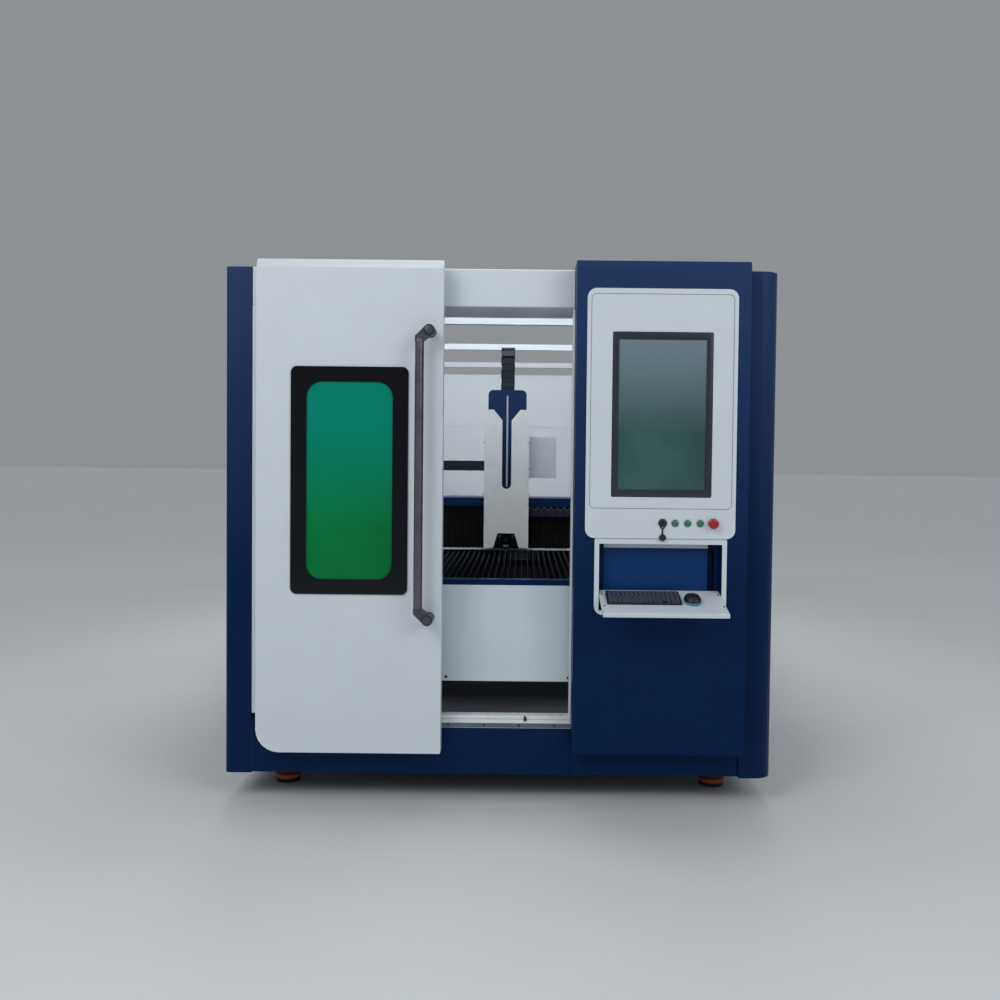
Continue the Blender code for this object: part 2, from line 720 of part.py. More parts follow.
def foot_profile():
    """Return the turned profile of a machine foot, from the stud's top down."""
    ring_top = FOOT_PAD_HEIGHT + FOOT_RING_HEIGHT
    nut_top = ring_top + FOOT_NUT_HEIGHT
    return [
        (0.0, FOOT_HEIGHT - SEAT),
        (FOOT_STUD_RADIUS, FOOT_HEIGHT - SEAT),
        (FOOT_STUD_RADIUS, nut_top),
        (FOOT_NUT_RADIUS, nut_top),
        (FOOT_NUT_RADIUS, ring_top),
        (FOOT_RING_RADIUS, ring_top),
        (FOOT_RING_RADIUS, FOOT_PAD_HEIGHT),
        (FOOT_RADIUS, FOOT_PAD_HEIGHT),
        (FOOT_RADIUS, 0.0),
        (0.0, 0.0),
    ]


def make_base():
    """Make the welded base ring, its middle feet and the four corner feet."""
    right_x = CABINET_RIGHT_X
    rim = [
        (LEFT_INNER_X + SEAT, 0.0),
        (right_x, 0.0),
        (right_x, PILLAR_DEPTH + SEAT),
        (HALF_WIDTH, PILLAR_DEPTH + SEAT),
        (HALF_WIDTH, DEPTH),
        (-HALF_WIDTH, DEPTH),
        (-HALF_WIDTH, PILLAR_DEPTH + SEAT),
        (LEFT_INNER_X + SEAT, PILLAR_DEPTH + SEAT),
    ]
    inner_x = HALF_WIDTH - BASE_SIDE_WIDTH
    hole = rounded((-inner_x, BASE_FRONT_DEPTH), (inner_x, DEPTH - BASE_REAR_DEPTH), 0.0)
    base = flat_piece("base_frame", [rim, hole], BASE_HEIGHT, "TOP",
                      FOOT_HEIGHT + BASE_HEIGHT / 2, "navy_paint")
    seam = block("base_seam_cutter",
                 (CABINET_LEFT_X - PANEL_JOINT / 2, CABINET_LEFT_X + PANEL_JOINT / 2),
                 (-PANEL_JOINT, PANEL_JOINT_DEPTH), (0.0, BASE_TOP + PANEL_JOINT))
    cut(base, seam)
    places = (("front", FOOT_END_INSET), ("middle", DEPTH / 2), ("rear", DEPTH - FOOT_END_INSET))
    for end, depth in places:
        for side, x in (("left", -FOOT_X), ("right", FOOT_X)):
            turned("foot_{}_{}".format(end, side), foot_profile(), at(x, depth, 0.0),
                   "UP", "dark_steel", steps=FOOT_STEPS)


def make_walls():
    """Make pillars, header, roof, side panels, rear frame and rear panel."""
    left = rounded((-HALF_WIDTH, 0.0), (LEFT_INNER_X, PILLAR_DEPTH), (LEFT_PILLAR_RADIUS, 0.0, 0.0, 0.0))
    pillar_foot = FOOT_HEIGHT - PILLAR_DROP
    pillar_height = WALL_TOP - pillar_foot
    middle_z = (pillar_foot + WALL_TOP) / 2
    flat_piece("left_pillar", [left], pillar_height, "TOP", middle_z, "navy_paint")
    right = rounded((CABINET_RIGHT_X + SEAT, -RIGHT_PILLAR_PROUD), (HALF_WIDTH, PILLAR_DEPTH),
                    (0.0, RIGHT_PILLAR_RADIUS, 0.0, 0.0))
    flat_piece("right_pillar", [right], pillar_height, "TOP", middle_z, "navy_paint")
    block("header_beam", (LEFT_INNER_X + SEAT, HEADER_END_X), (0.0, HEADER_DEPTH),
          (HEADER_BOTTOM, WALL_TOP), "white_paint", HEADER_EDGE)
    block("fixed_front_panel", (LEFT_INNER_X + SEAT, LOADING_LEFT_X), (0.0, FRONT_SHEET),
          (BASE_TOP + SILL_HEIGHT + TRACK_HEIGHT + 2 * SEAT, HEADER_BOTTOM - SEAT), "white_paint", SHEET_EDGE)
    side_front = PILLAR_DEPTH + SEAT
    side_rear = REAR_FRAME_FRONT - SEAT
    for side, sign in (("left", -1), ("right", 1)):
        inner = HALF_WIDTH - SIDE_PANEL_THICKNESS
        panel = block(side + "_side_panel", sorted((sign * inner, sign * HALF_WIDTH)),
                      (side_front, side_rear), (BASE_TOP + SEAT, ROOF_BOTTOM - SEAT), "navy_paint",
                      SHEET_EDGE)
        for count in range(1, SIDE_PANEL_BAYS):
            depth = side_front + (side_rear - side_front) * count / SIDE_PANEL_BAYS
            outer = sorted((sign * (HALF_WIDTH - PANEL_JOINT_DEPTH), sign * (HALF_WIDTH + PANEL_JOINT)))
            cut(panel, block("side_joint_cutter_{}_{}".format(side, count), outer,
                             (depth, depth + PANEL_JOINT), (BASE_TOP - PANEL_JOINT, ROOF_TOP)))
    rail_x = HALF_WIDTH - ROOF_BEAM_WIDTH
    first = ROOF_BEAM_PITCH - ROOF_BEAM_WIDTH / 2
    last = 2 * ROOF_BEAM_PITCH + ROOF_BEAM_WIDTH / 2
    roof = [
        (-HALF_WIDTH, side_front), (-rail_x, side_front), (-rail_x, first), (rail_x, first),
        (rail_x, side_front), (HALF_WIDTH, side_front), (HALF_WIDTH, side_rear), (rail_x, side_rear),
        (rail_x, last), (-rail_x, last), (-rail_x, side_rear), (-HALF_WIDTH, side_rear),
    ]
    bay = rounded((-rail_x, first + ROOF_BEAM_WIDTH), (rail_x, last - ROOF_BEAM_WIDTH), 0.0)
    flat_piece("roof_frame", [roof, bay], ROOF_TUBE, "TOP", (ROOF_BOTTOM + ROOF_TOP) / 2, "white_paint")
    foot = BASE_TOP + SEAT
    portal = [
        (-HALF_WIDTH, foot), (-POST_INNER_X, foot), (-POST_INNER_X, ROOF_BOTTOM),
        (POST_INNER_X, ROOF_BOTTOM), (POST_INNER_X, foot), (HALF_WIDTH, foot),
        (HALF_WIDTH, ROOF_TOP), (-HALF_WIDTH, ROOF_TOP),
    ]
    flat_piece("rear_frame", [portal], REAR_POST_DEPTH, "FRONT", DEPTH - REAR_POST_DEPTH / 2, "white_paint")
    front = DEPTH - REAR_POST_DEPTH / 2
    rear = block("rear_panel", (-POST_INNER_X + SEAT, POST_INNER_X - SEAT),
                 (front, front + REAR_PANEL_THICKNESS), (BASE_TOP + SEAT, REAR_PANEL_TOP), "white_paint",
                 SHEET_EDGE)
    cut(rear, block("crease_cutter", (-HALF_WIDTH, HALF_WIDTH),
                    (front - PANEL_JOINT, front + PANEL_JOINT_DEPTH),
                    (REAR_CREASE_HEIGHT, REAR_CREASE_HEIGHT + PANEL_JOINT)))


def make_sill():
    """Make the sill profile with its lower track, groove and front flange."""
    foot = BASE_TOP + SEAT
    track_top = foot + TRACK_HEIGHT
    top = track_top + SILL_HEIGHT
    middle = (track_top + top) / 2
    profile = [
        (0.0, foot), (TRACK_WIDTH, foot), (TRACK_WIDTH, track_top), (SILL_WIDTH, track_top),
        (SILL_WIDTH, top), (SILL_GROOVE, top), (SILL_GROOVE, middle + SILL_GROOVE / 2),
        (SILL_GROOVE * 2, middle + SILL_GROOVE / 2), (SILL_GROOVE * 2, middle - SILL_GROOVE / 2),
        (SILL_GROOVE, middle - SILL_GROOVE / 2), (SILL_GROOVE, track_top), (0.0, track_top),
    ]
    length = HEADER_END_X - SILL_LEFT_X
    sill = flat_piece("sill_rail", [profile], length, "SIDE", SILL_LEFT_X + length / 2, "white_paint")
    weld(sill, block("door_jamb", (HEADER_END_X - JAMB_WIDTH, HEADER_END_X), (JAMB_FRONT, SILL_WIDTH),
                     (middle, HEADER_BOTTOM - SEAT)))


def make_bed():
    """Make the welded bed, its apron, scrap pan, rails and slat table."""
    rail_bottom = BED_RAIL_TOP - BED_RAIL_HEIGHT
    bed = block("bed_frame", (-BED_HALF_WIDTH, BED_HALF_WIDTH), (BED_FRONT, BED_FRONT + BED_RAIL_WIDTH),
                (rail_bottom, BED_RAIL_TOP), "navy_paint")
    weld(bed, block("bed_rear_rail", (-BED_HALF_WIDTH, BED_HALF_WIDTH), (BED_REAR - BED_RAIL_WIDTH, BED_REAR),
                    (rail_bottom, BED_RAIL_TOP)))
    for side, sign in (("left", -1), ("right", 1)):
        beam_x = sorted((sign * BED_INNER_X, sign * BED_HALF_WIDTH))
        weld(bed, block("bed_beam_" + side, beam_x, (BED_FRONT, BED_REAR), (BASE_TOP + SEAT, BED_BEAM_TOP)))
        ledge_x = sorted((sign * (BED_INNER_X - LEDGE_WIDTH), sign * (BED_INNER_X + LEDGE_THICKNESS)))
        ledge_top = BED_RAIL_TOP - SLAT_HEIGHT - SLAT_BAR_DROP - SEAT
        weld(bed, block("bed_ledge_" + side, ledge_x,
                        (BED_FRONT + LEDGE_THICKNESS, BED_REAR - LEDGE_THICKNESS),
                        (ledge_top - LEDGE_THICKNESS, ledge_top)))
    apron_back = BED_FRONT - SEAT
    block("apron_panel", (-APRON_HALF_WIDTH, APRON_HALF_WIDTH), (apron_back - APRON_SHEET, apron_back),
          (APRON_BOTTOM, APRON_TOP), "satin_steel")
    pan_x = BED_INNER_X - SEAT
    pan_low = BASE_TOP + SEAT
    pan_top = pan_low + PAN_RIM
    pan = block("scrap_pan", (-pan_x, pan_x), (BED_FRONT, BED_REAR), (pan_low, pan_top), "dark_steel")
    cut(pan, block("pan_cutter", (PAN_SHEET - pan_x, pan_x - PAN_SHEET),
                   (BED_FRONT + PAN_SHEET, BED_REAR - PAN_SHEET), (pan_low + PAN_SHEET, pan_top + PAN_RIM)))
    for side, sign in (("left", -1), ("right", 1)):
        make_y_rail("y_rail_" + side, sign)
    make_slats()


def make_y_rail(name, sign):
    """Make one linear rail with its toothed rack alongside."""
    foot = BED_BEAM_TOP + SEAT
    rear = BED_REAR - BED_RAIL_WIDTH - SEAT
    rail = block(name, (sign * Y_RAIL_X - Y_RAIL_WIDTH / 2, sign * Y_RAIL_X + Y_RAIL_WIDTH / 2),
                 (Y_RAIL_FRONT, rear), (foot, Y_RAIL_TOP), "rail_steel")
    inner = Y_RAIL_X - Y_RAIL_WIDTH / 2
    outline = [(Y_RAIL_FRONT, foot), (rear, foot)]
    teeth = int((rear - Y_RAIL_FRONT) / Y_RACK_TOOTH)
    pitch = (rear - Y_RAIL_FRONT) / teeth
    tooth_top = foot + Y_RACK_HEIGHT
    tooth_root = tooth_top - Y_RACK_TOOTH_HEIGHT
    for count in range(teeth, 0, -1):
        outline.append((Y_RAIL_FRONT + count * pitch, tooth_root))
        outline.append((Y_RAIL_FRONT + (count - 0.5) * pitch, tooth_top))
    outline.append((Y_RAIL_FRONT, tooth_root))
    width = Y_RACK_WIDTH + SEAT
    weld(rail, flat_piece(name + "_rack", [outline], width, "SIDE", sign * (inner + SEAT - width / 2)))


def make_slats():
    """Make the slat table: saw-toothed slats let into three cross bars."""
    front = BED_FRONT + BED_RAIL_WIDTH + SEAT
    half = BED_INNER_X - SEAT
    foot = BED_RAIL_TOP - SLAT_HEIGHT
    length = SLAT_REAR - front
    tooth = length / SLAT_TEETH
    outline = [(front, foot), (SLAT_REAR, foot)]
    for count in range(SLAT_TEETH, 0, -1):
        outline.append((front + count * tooth, BED_RAIL_TOP - SLAT_TOOTH_DEPTH))
        outline.append((front + (count - 0.5) * tooth, BED_RAIL_TOP))
    outline.append((front, BED_RAIL_TOP - SLAT_TOOTH_DEPTH))
    bar_low = foot - SLAT_BAR_DROP
    table = block("slat_table", (-half, half), (front, front + SLAT_BAR_WIDTH),
                  (bar_low, bar_low + SLAT_BAR_HEIGHT), "slat_steel")
    for name, depth in (("middle", front + length / 2), ("rear", SLAT_REAR - SLAT_BAR_WIDTH)):
        weld(table, block("slat_bar_" + name, (-half, half), (depth, depth + SLAT_BAR_WIDTH),
                          (bar_low, bar_low + SLAT_BAR_HEIGHT)))
    count = int((2 * half - SLAT_PITCH) / SLAT_PITCH)
    first = flat_piece("slat_row", [outline], SLAT_THICKNESS, "SIDE", -count * SLAT_PITCH / 2)
    row = first.modifiers.new("row", "ARRAY")
    row.use_relative_offset = False
    row.use_constant_offset = True
    row.constant_offset_displace = (0.0, 0.0, SLAT_PITCH)
    row.count = count + 1
    weld(table, first)


def make_cabinet():
    """Make the control cabinet with its recess, button pockets and tray pin holes."""
    front = -CABINET_PROUD
    profile = [
        (front, CABINET_BOTTOM), (-SEAT, CABINET_BOTTOM), (-SEAT, BASE_TOP + SEAT),
        (CABINET_REAR, BASE_TOP + SEAT), (CABINET_REAR, CABINET_TOP),
        (front + CABINET_CHAMFER_DEPTH, CABINET_TOP), (front, CABINET_TOP - CABINET_CHAMFER_HEIGHT),
    ]
    right = CABINET_RIGHT_X
    cabinet = flat_piece("control_cabinet", [profile], right - CABINET_LEFT_X, "SIDE",
                         (CABINET_LEFT_X + right) / 2, "navy_paint")
    step_back = front + RECESS_STEP_DEPTH
    over = CABINET_PROUD
    step = block("recess_step_cutter", (RECESS_LEFT_X, RECESS_RIGHT_X), (front - over, step_back),
                 (RECESS_BOTTOM, RECESS_TOP))
    deep = block("recess_deep_cutter", (RECESS_LEFT_X + RECESS_INSET, RECESS_RIGHT_X - RECESS_INSET),
                 (front - over, -RECESS_FLOOR), (RECESS_BOTTOM + RECESS_INSET, RECESS_TOP - RECESS_INSET))
    pin_reach = TRAY_PIN_LENGTH + RUNNING
    pins = rod("tray_pin_cutter", TRAY_PIN_RADIUS + RUNNING,
               (TRAY_LEFT_X - pin_reach, TRAY_PIVOT_DEPTH, TRAY_PIVOT_Z),
               (TRAY_RIGHT_X + pin_reach, TRAY_PIVOT_DEPTH, TRAY_PIVOT_Z), segments=PIN_STEPS)
    cut(cabinet, step, deep, pins)
    for number in range(BUTTON_COUNT):
        x = BUTTON_FIRST_X + number * BUTTON_PITCH
        cut(cabinet, rod("button_pocket_cutter_{}".format(number + 1), BUTTON_RADIUS + RUNNING,
                         (x, front - over, CONTROL_ROW_Z), (x, front + BUTTON_POCKET, CONTROL_ROW_Z),
                         segments=BORE_STEPS))
    cut(cabinet, rod("stop_pocket_cutter", STOP_STEM_RADIUS + RUNNING, (STOP_X, front - over, CONTROL_ROW_Z),
                     (STOP_X, front + STOP_POCKET, CONTROL_ROW_Z), segments=BORE_STEPS))


def make_control_panel():
    """Make the white operator panel with its holes, port collar, screen and frame."""
    back = -CABINET_PROUD - SEAT
    middle = back - PANEL_THICKNESS / 2
    rim = rounded((PANEL_LEFT_X, PANEL_BOTTOM), (PANEL_RIGHT_X, PANEL_TOP), PANEL_RADIUS)
    hole = rounded((SCREEN_LEFT_X - SEAT, SCREEN_BOTTOM - SEAT), (SCREEN_RIGHT_X + SEAT, SCREEN_TOP + SEAT),
                   SCREEN_RADIUS)
    panel = flat_piece("control_panel", [rim, hole], PANEL_THICKNESS, "FRONT", middle, "white_paint")
    cut(panel, make_panel_seam())
    reach = PANEL_THICKNESS * 2
    for number in range(BUTTON_COUNT):
        x = BUTTON_FIRST_X + number * BUTTON_PITCH
        cut(panel, rod("button_hole_cutter_{}".format(number + 1), BUTTON_RADIUS + RUNNING,
                       (x, middle - reach, CONTROL_ROW_Z), (x, middle + reach, CONTROL_ROW_Z),
                       segments=BORE_STEPS))
    cut(panel, rod("stop_hole_cutter", STOP_STEM_RADIUS + RUNNING, (STOP_X, middle - reach, CONTROL_ROW_Z),
                   (STOP_X, middle + reach, CONTROL_ROW_Z), segments=BORE_STEPS))
    pin_z = CONTROL_ROW_Z - CAP_PIN_DROP
    weld(panel, rod("cap_pin", CAP_PIN_RADIUS, (PORT_X, PANEL_FACE - PORT_STAND, pin_z),
                    (PORT_X, middle, pin_z), segments=PIN_STEPS))
    collar = rod("port_collar", PORT_RADIUS, (PORT_X, PANEL_FACE - SEAT - PORT_STAND, CONTROL_ROW_Z),
                 (PORT_X, PANEL_FACE - SEAT, CONTROL_ROW_Z), "black_paint", segments=BORE_STEPS)
    cut(collar, block("port_slot_cutter", (PORT_X - PORT_SLOT_WIDTH / 2, PORT_X + PORT_SLOT_WIDTH / 2),
                      (PANEL_FACE - 2 * PORT_STAND, PANEL_FACE),
                      (CONTROL_ROW_Z - PORT_SLOT_HEIGHT / 2, CONTROL_ROW_Z + PORT_SLOT_HEIGHT / 2)))
    glass_low = (SCREEN_LEFT_X + SCREEN_BORDER_SIDE, SCREEN_BOTTOM + SCREEN_BORDER_END)
    glass_high = (SCREEN_RIGHT_X - SCREEN_BORDER_SIDE, SCREEN_TOP - SCREEN_BORDER_END)
    bezel_rim = rounded((SCREEN_LEFT_X, SCREEN_BOTTOM), (SCREEN_RIGHT_X, SCREEN_TOP), SCREEN_RADIUS)
    bezel_depth = PANEL_THICKNESS + SCREEN_STAND
    flat_piece("screen_bezel", [bezel_rim, rounded(glass_low, glass_high, 0.0)], bezel_depth, "FRONT",
               back - bezel_depth / 2, "black_paint")
    block("screen_glass", (glass_low[0] + SEAT, glass_high[0] - SEAT), (back - SCREEN_GLASS_THICKNESS, back),
          (glass_low[1] + SEAT, glass_high[1] - SEAT), "screen_glass")
    rim = rounded((KEY_FRAME_LEFT_X, KEY_FRAME_BOTTOM), (KEY_FRAME_RIGHT_X, KEY_FRAME_TOP),
                  (KEY_FRAME_RADIUS, KEY_FRAME_RADIUS, SMALL_RADIUS, SMALL_RADIUS))
    hole = rounded((RECESS_LEFT_X, RECESS_BOTTOM), (RECESS_RIGHT_X, RECESS_TOP), 0.0)
    flat_piece("keyboard_frame", [rim, hole], KEY_FRAME_SHEET, "FRONT", back - KEY_FRAME_SHEET / 2,
               "white_paint")


def make_panel_seam():
    """Return the cutter of the shallow seam that runs round the screen's door."""
    low = (PANEL_LEFT_X + PANEL_SEAM_INSET, PANEL_BOTTOM + PANEL_SEAM_BOTTOM)
    high = (PANEL_RIGHT_X - PANEL_SEAM_INSET, PANEL_TOP - PANEL_SEAM_TOP)
    radius = PANEL_RADIUS - PANEL_SEAM_INSET
    inner_low = [value + PANEL_SEAM_WIDTH for value in low]
    inner_high = [value - PANEL_SEAM_WIDTH for value in high]
    return flat_piece("panel_seam_cutter", [rounded(low, high, radius),
                                            rounded(inner_low, inner_high, radius - PANEL_SEAM_WIDTH)],
                      2 * PANEL_SEAM_DEPTH, "FRONT", PANEL_FACE)


def make_buttons():
    """Make the sprung buttons and the mushroom stop button."""
    for number in range(BUTTON_COUNT):
        x = BUTTON_FIRST_X + number * BUTTON_PITCH
        height = BUTTON_STAND + BUTTON_BODY
        turned("button_{}".format(number + 1),
               [(0.0, height), (BUTTON_RADIUS - BUTTON_CHAMFER, height),
                (BUTTON_RADIUS, height - BUTTON_CHAMFER), (BUTTON_RADIUS, 0.0), (0.0, 0.0)],
               at(x, PANEL_FACE + BUTTON_BODY, CONTROL_ROW_Z), "FRONT", "button_green", steps=BORE_STEPS)
    stem = STOP_STEM_STAND + BUTTON_BODY
    rim = stem + STOP_RIM_HEIGHT
    dome = STOP_HEAD_HEIGHT - STOP_RIM_HEIGHT
    profile = [(0.0, rim + dome)]
    for count in range(1, ARC_STEPS):
        angle = math.pi / 2 * count / ARC_STEPS
        profile.append((STOP_HEAD_RADIUS * math.sin(angle), rim + dome * math.cos(angle)))
    profile += [(STOP_HEAD_RADIUS, rim), (STOP_UNDER_RADIUS, stem), (STOP_STEM_RADIUS, stem),
                (STOP_STEM_RADIUS, 0.0), (0.0, 0.0)]
    turned("stop_button", profile, at(STOP_X, PANEL_FACE + BUTTON_BODY, CONTROL_ROW_Z), "FRONT", "stop_red")


def make_port_cap():
    """Make the dust cap that hangs by a strap from its pin under the port."""
    pin_z = CONTROL_ROW_Z - CAP_PIN_DROP
    face = PANEL_FACE - RUNNING
    pivot = bpy.data.objects.new("cap_pivot", None)
    PARTS.objects.link(pivot)
    pivot.location = at(PORT_X, face, pin_z)
    half = CAP_STRAP_WIDTH / 2
    meet = math.asin(half / CAP_EYE_RADIUS)
    steps = ARC_STEPS * 2
    sweep = 2 * math.pi - 2 * meet
    eye = [(CAP_EYE_RADIUS * math.sin(meet + sweep * n / steps + math.pi),
            CAP_EYE_RADIUS * math.cos(meet + sweep * n / steps + math.pi)) for n in range(steps + 1)]
    strap_low = -CAP_DROP
    outline = eye + [(half, strap_low), (-half, strap_low)]
    hole_radius = CAP_PIN_RADIUS + SEAT
    angles = [2 * math.pi * n / PIN_STEPS for n in range(PIN_STEPS)]
    hole = [(hole_radius * math.cos(angle), hole_radius * math.sin(angle)) for angle in angles]
    strap = flat_piece("port_cap", [outline, hole], CAP_STRAP_THICKNESS, "FRONT", 0.0, "black_rubber")
    strap.matrix_world = Matrix.Rotation(math.pi / 2, 4, "X")
    strap.location = (0.0, -CAP_STRAP_THICKNESS / 2, 0.0)
    strap.parent = pivot
    cap = rod("port_cap_disc", CAP_RADIUS, (PORT_X, face, pin_z - CAP_DROP),
              (PORT_X, face - CAP_THICKNESS, pin_z - CAP_DROP), segments=BORE_STEPS)
    weld(strap, cap)


def make_tray():
    """Make the tray, keyboard and mouse, level about the pivot and then tilted with it."""
    pivot = bpy.data.objects.new("tray_pivot", None)
    PARTS.objects.link(pivot)
    pivot.location = at(0.0, TRAY_PIVOT_DEPTH, TRAY_PIVOT_Z)
    pivot.rotation_euler = (TRAY_SLOPE, 0.0, 0.0)
    rear = TRAY_PIVOT_BACK
    width = TRAY_RIGHT_X - TRAY_LEFT_X
    middle_x = (TRAY_LEFT_X + TRAY_RIGHT_X) / 2
    size = (width, TRAY_LENGTH, TRAY_THICKNESS)
    tray = place("keyboard_tray", cube_mesh("keyboard_tray", size),
                 (middle_x, rear - TRAY_LENGTH / 2, TRAY_PIVOT_DOWN - TRAY_THICKNESS / 2), "white_paint")
    ease(tray, TRAY_EDGE)
    pin = rod("tray_pins", TRAY_PIN_RADIUS, (TRAY_LEFT_X - TRAY_PIN_LENGTH, TRAY_PIVOT_DEPTH, TRAY_PIVOT_Z),
              (TRAY_RIGHT_X + TRAY_PIN_LENGTH, TRAY_PIVOT_DEPTH, TRAY_PIVOT_Z), segments=PIN_STEPS)
    weld(tray, pin)
    keyboard_x = TRAY_LEFT_X + KEYBOARD_INSET + KEYBOARD_WIDTH / 2
    floor = TRAY_PIVOT_DOWN + SEAT
    keyboard = place("keyboard", cube_mesh("keyboard", (KEYBOARD_WIDTH, KEYBOARD_DEPTH, KEYBOARD_HEIGHT)),
                     (keyboard_x, rear - KEYBOARD_BACK - KEYBOARD_DEPTH / 2, floor + KEYBOARD_HEIGHT / 2),
                     "key_plastic")
    ease(keyboard, KEYBOARD_EDGE, 2)
    mouse_x = keyboard_x + KEYBOARD_WIDTH / 2 + MOUSE_GAP + MOUSE_WIDTH / 2
    mouse = make_mouse((mouse_x, rear - MOUSE_BACK - MOUSE_LENGTH / 2, floor))
    for piece in (tray, keyboard, mouse):
        piece.parent = pivot


def make_mouse(location):
    """Return a mouse: half an egg with a flat underside."""
    mesh = bpy.data.meshes.new("mouse")
    shape = bmesh.new()
    stretch = Matrix.Diagonal((MOUSE_WIDTH / 2, MOUSE_LENGTH / 2, MOUSE_HEIGHT, 1.0))
    bmesh.ops.create_uvsphere(shape, u_segments=BORE_STEPS, v_segments=BORE_STEPS // 2, radius=1.0,
                              matrix=stretch)
    everything = shape.verts[:] + shape.edges[:] + shape.faces[:]
    sliced = bmesh.ops.bisect_plane(shape, geom=everything, plane_co=(0, 0, 0), plane_no=(0, 0, 1),
                                    clear_inner=True, dist=0.00001)
    rim = [item for item in sliced["geom_cut"] if isinstance(item, bmesh.types.BMEdge)]
    bmesh.ops.edgeloop_fill(shape, edges=rim)
    bmesh.ops.recalc_face_normals(shape, faces=shape.faces)
    shape.to_mesh(mesh)
    shape.free()
    smooth(mesh)
    return place("mouse", mesh, location, "mouse_plastic")


def make_door():
    """Make the sliding door: framed shell, window, handle and its two runners."""
    front = -DOOR_PROUD
    back = front + DOOR_THICKNESS
    small = (SMALL_RADIUS,) * 3
    rim = rounded((DOOR_LEFT_X, DOOR_BOTTOM), (DOOR_RIGHT_X, DOOR_TOP), (DOOR_CORNER, *small))
    window_low = (WINDOW_LEFT_X + WINDOW_BORDER_SIDE, WINDOW_BOTTOM + WINDOW_BORDER_END)
    window_high = (WINDOW_RIGHT_X - WINDOW_BORDER_SIDE, WINDOW_TOP - WINDOW_BORDER_END)
    hole_low = [value - GLASS_LAP - SEAT for value in window_low]
    hole_high = [value + GLASS_LAP + SEAT for value in window_high]
    hole = rounded(hole_low, hole_high, WINDOW_GLASS_RADIUS)
    door = flat_piece("door_panel", [rim, hole], DOOR_THICKNESS, "FRONT", (front + back) / 2, "white_paint")
    radius = DOOR_CORNER - DOOR_FRAME
    pocket_low = (DOOR_LEFT_X + DOOR_FRAME, DOOR_BOTTOM + DOOR_FRAME)
    pocket_high = (DOOR_RIGHT_X - DOOR_FRAME, DOOR_TOP - DOOR_TOP_FRAME)
    around_low = [value - DOOR_FRAME for value in hole_low]
    around_high = [value + DOOR_FRAME for value in hole_high]
    depth = DOOR_THICKNESS
    pocket = flat_piece("door_pocket_cutter",
                        [rounded(pocket_low, pocket_high, (radius, *small)),
                         rounded(around_low, around_high, WINDOW_GLASS_RADIUS)],
                        depth, "FRONT", front + DOOR_SKIN + depth / 2)
    lip = DOOR_CHAMFER_DEPTH
    chamfer = [(front - lip, DOOR_TOP - DOOR_CHAMFER_HEIGHT * 2), (front + lip, DOOR_TOP),
               (front + lip, DOOR_TOP + lip), (front - lip, DOOR_TOP + lip)]
    middle_x = (DOOR_LEFT_X + DOOR_RIGHT_X) / 2
    slope = flat_piece("door_chamfer_cutter", [chamfer], DOOR_WIDTH + 2 * lip, "SIDE", middle_x)
    cut(door, pocket, slope)
    window_rim = rounded((WINDOW_LEFT_X, WINDOW_BOTTOM), (WINDOW_RIGHT_X, WINDOW_TOP), WINDOW_RADIUS)
    frame_back = front - SEAT
    flat_piece("window_frame", [window_rim, rounded(window_low, window_high, WINDOW_GLASS_RADIUS)],
               WINDOW_FRAME_THICKNESS, "FRONT", frame_back - WINDOW_FRAME_THICKNESS / 2, "black_paint")
    pane = rounded([value + SEAT for value in hole_low], [value - SEAT for value in hole_high],
                   WINDOW_GLASS_RADIUS)
    flat_piece("window_glass", [pane], GLASS_THICKNESS, "FRONT", front + GLASS_THICKNESS / 2, "safety_glass")
    make_handle(front)
    make_runners(back)


def make_handle(front):
    """Make the upright handle tube and the bracket at each of its ends."""
    depth = front - HANDLE_STANDOFF
    curve = bpy.data.curves.new("handle_tube", "CURVE")
    curve.dimensions = "3D"
    curve.bevel_depth = HANDLE_RADIUS
    curve.bevel_resolution = 4
    curve.use_fill_caps = True
    line = curve.splines.new("POLY")
    line.points.add(1)
    for point, z in zip(line.points, (HANDLE_BOTTOM, HANDLE_TOP)):
        point.co = (*at(HANDLE_X, depth, z), 1.0)
    solid_from(bpy.data.objects.new("handle_line", curve), "handle_tube", "handle_bronze")
    for end, z, sign in (("lower", HANDLE_BOTTOM, -1), ("upper", HANDLE_TOP, 1)):
        boss_x = HANDLE_X + BOSS_OFFSET_X
        boss_z = z + sign * BOSS_OFFSET_Z
        start = z + sign * SEAT
        collar_end = start + sign * BRACKET_COLLAR
        bracket = rod("handle_bracket_" + end, BOSS_RADIUS, (boss_x, front - SEAT, boss_z),
                      (boss_x, depth - BOSS_RADIUS, boss_z), "black_paint")
        neck = rod("bracket_neck_" + end, BRACKET_NECK_RADIUS, (boss_x, depth, boss_z),
                   (HANDLE_X, depth, collar_end), segments=BORE_STEPS)
        collar = rod("bracket_collar_" + end, BRACKET_COLLAR_RADIUS, (HANDLE_X, depth, start),
                     (HANDLE_X, depth, collar_end), segments=BORE_STEPS)
        weld(bracket, neck, collar)


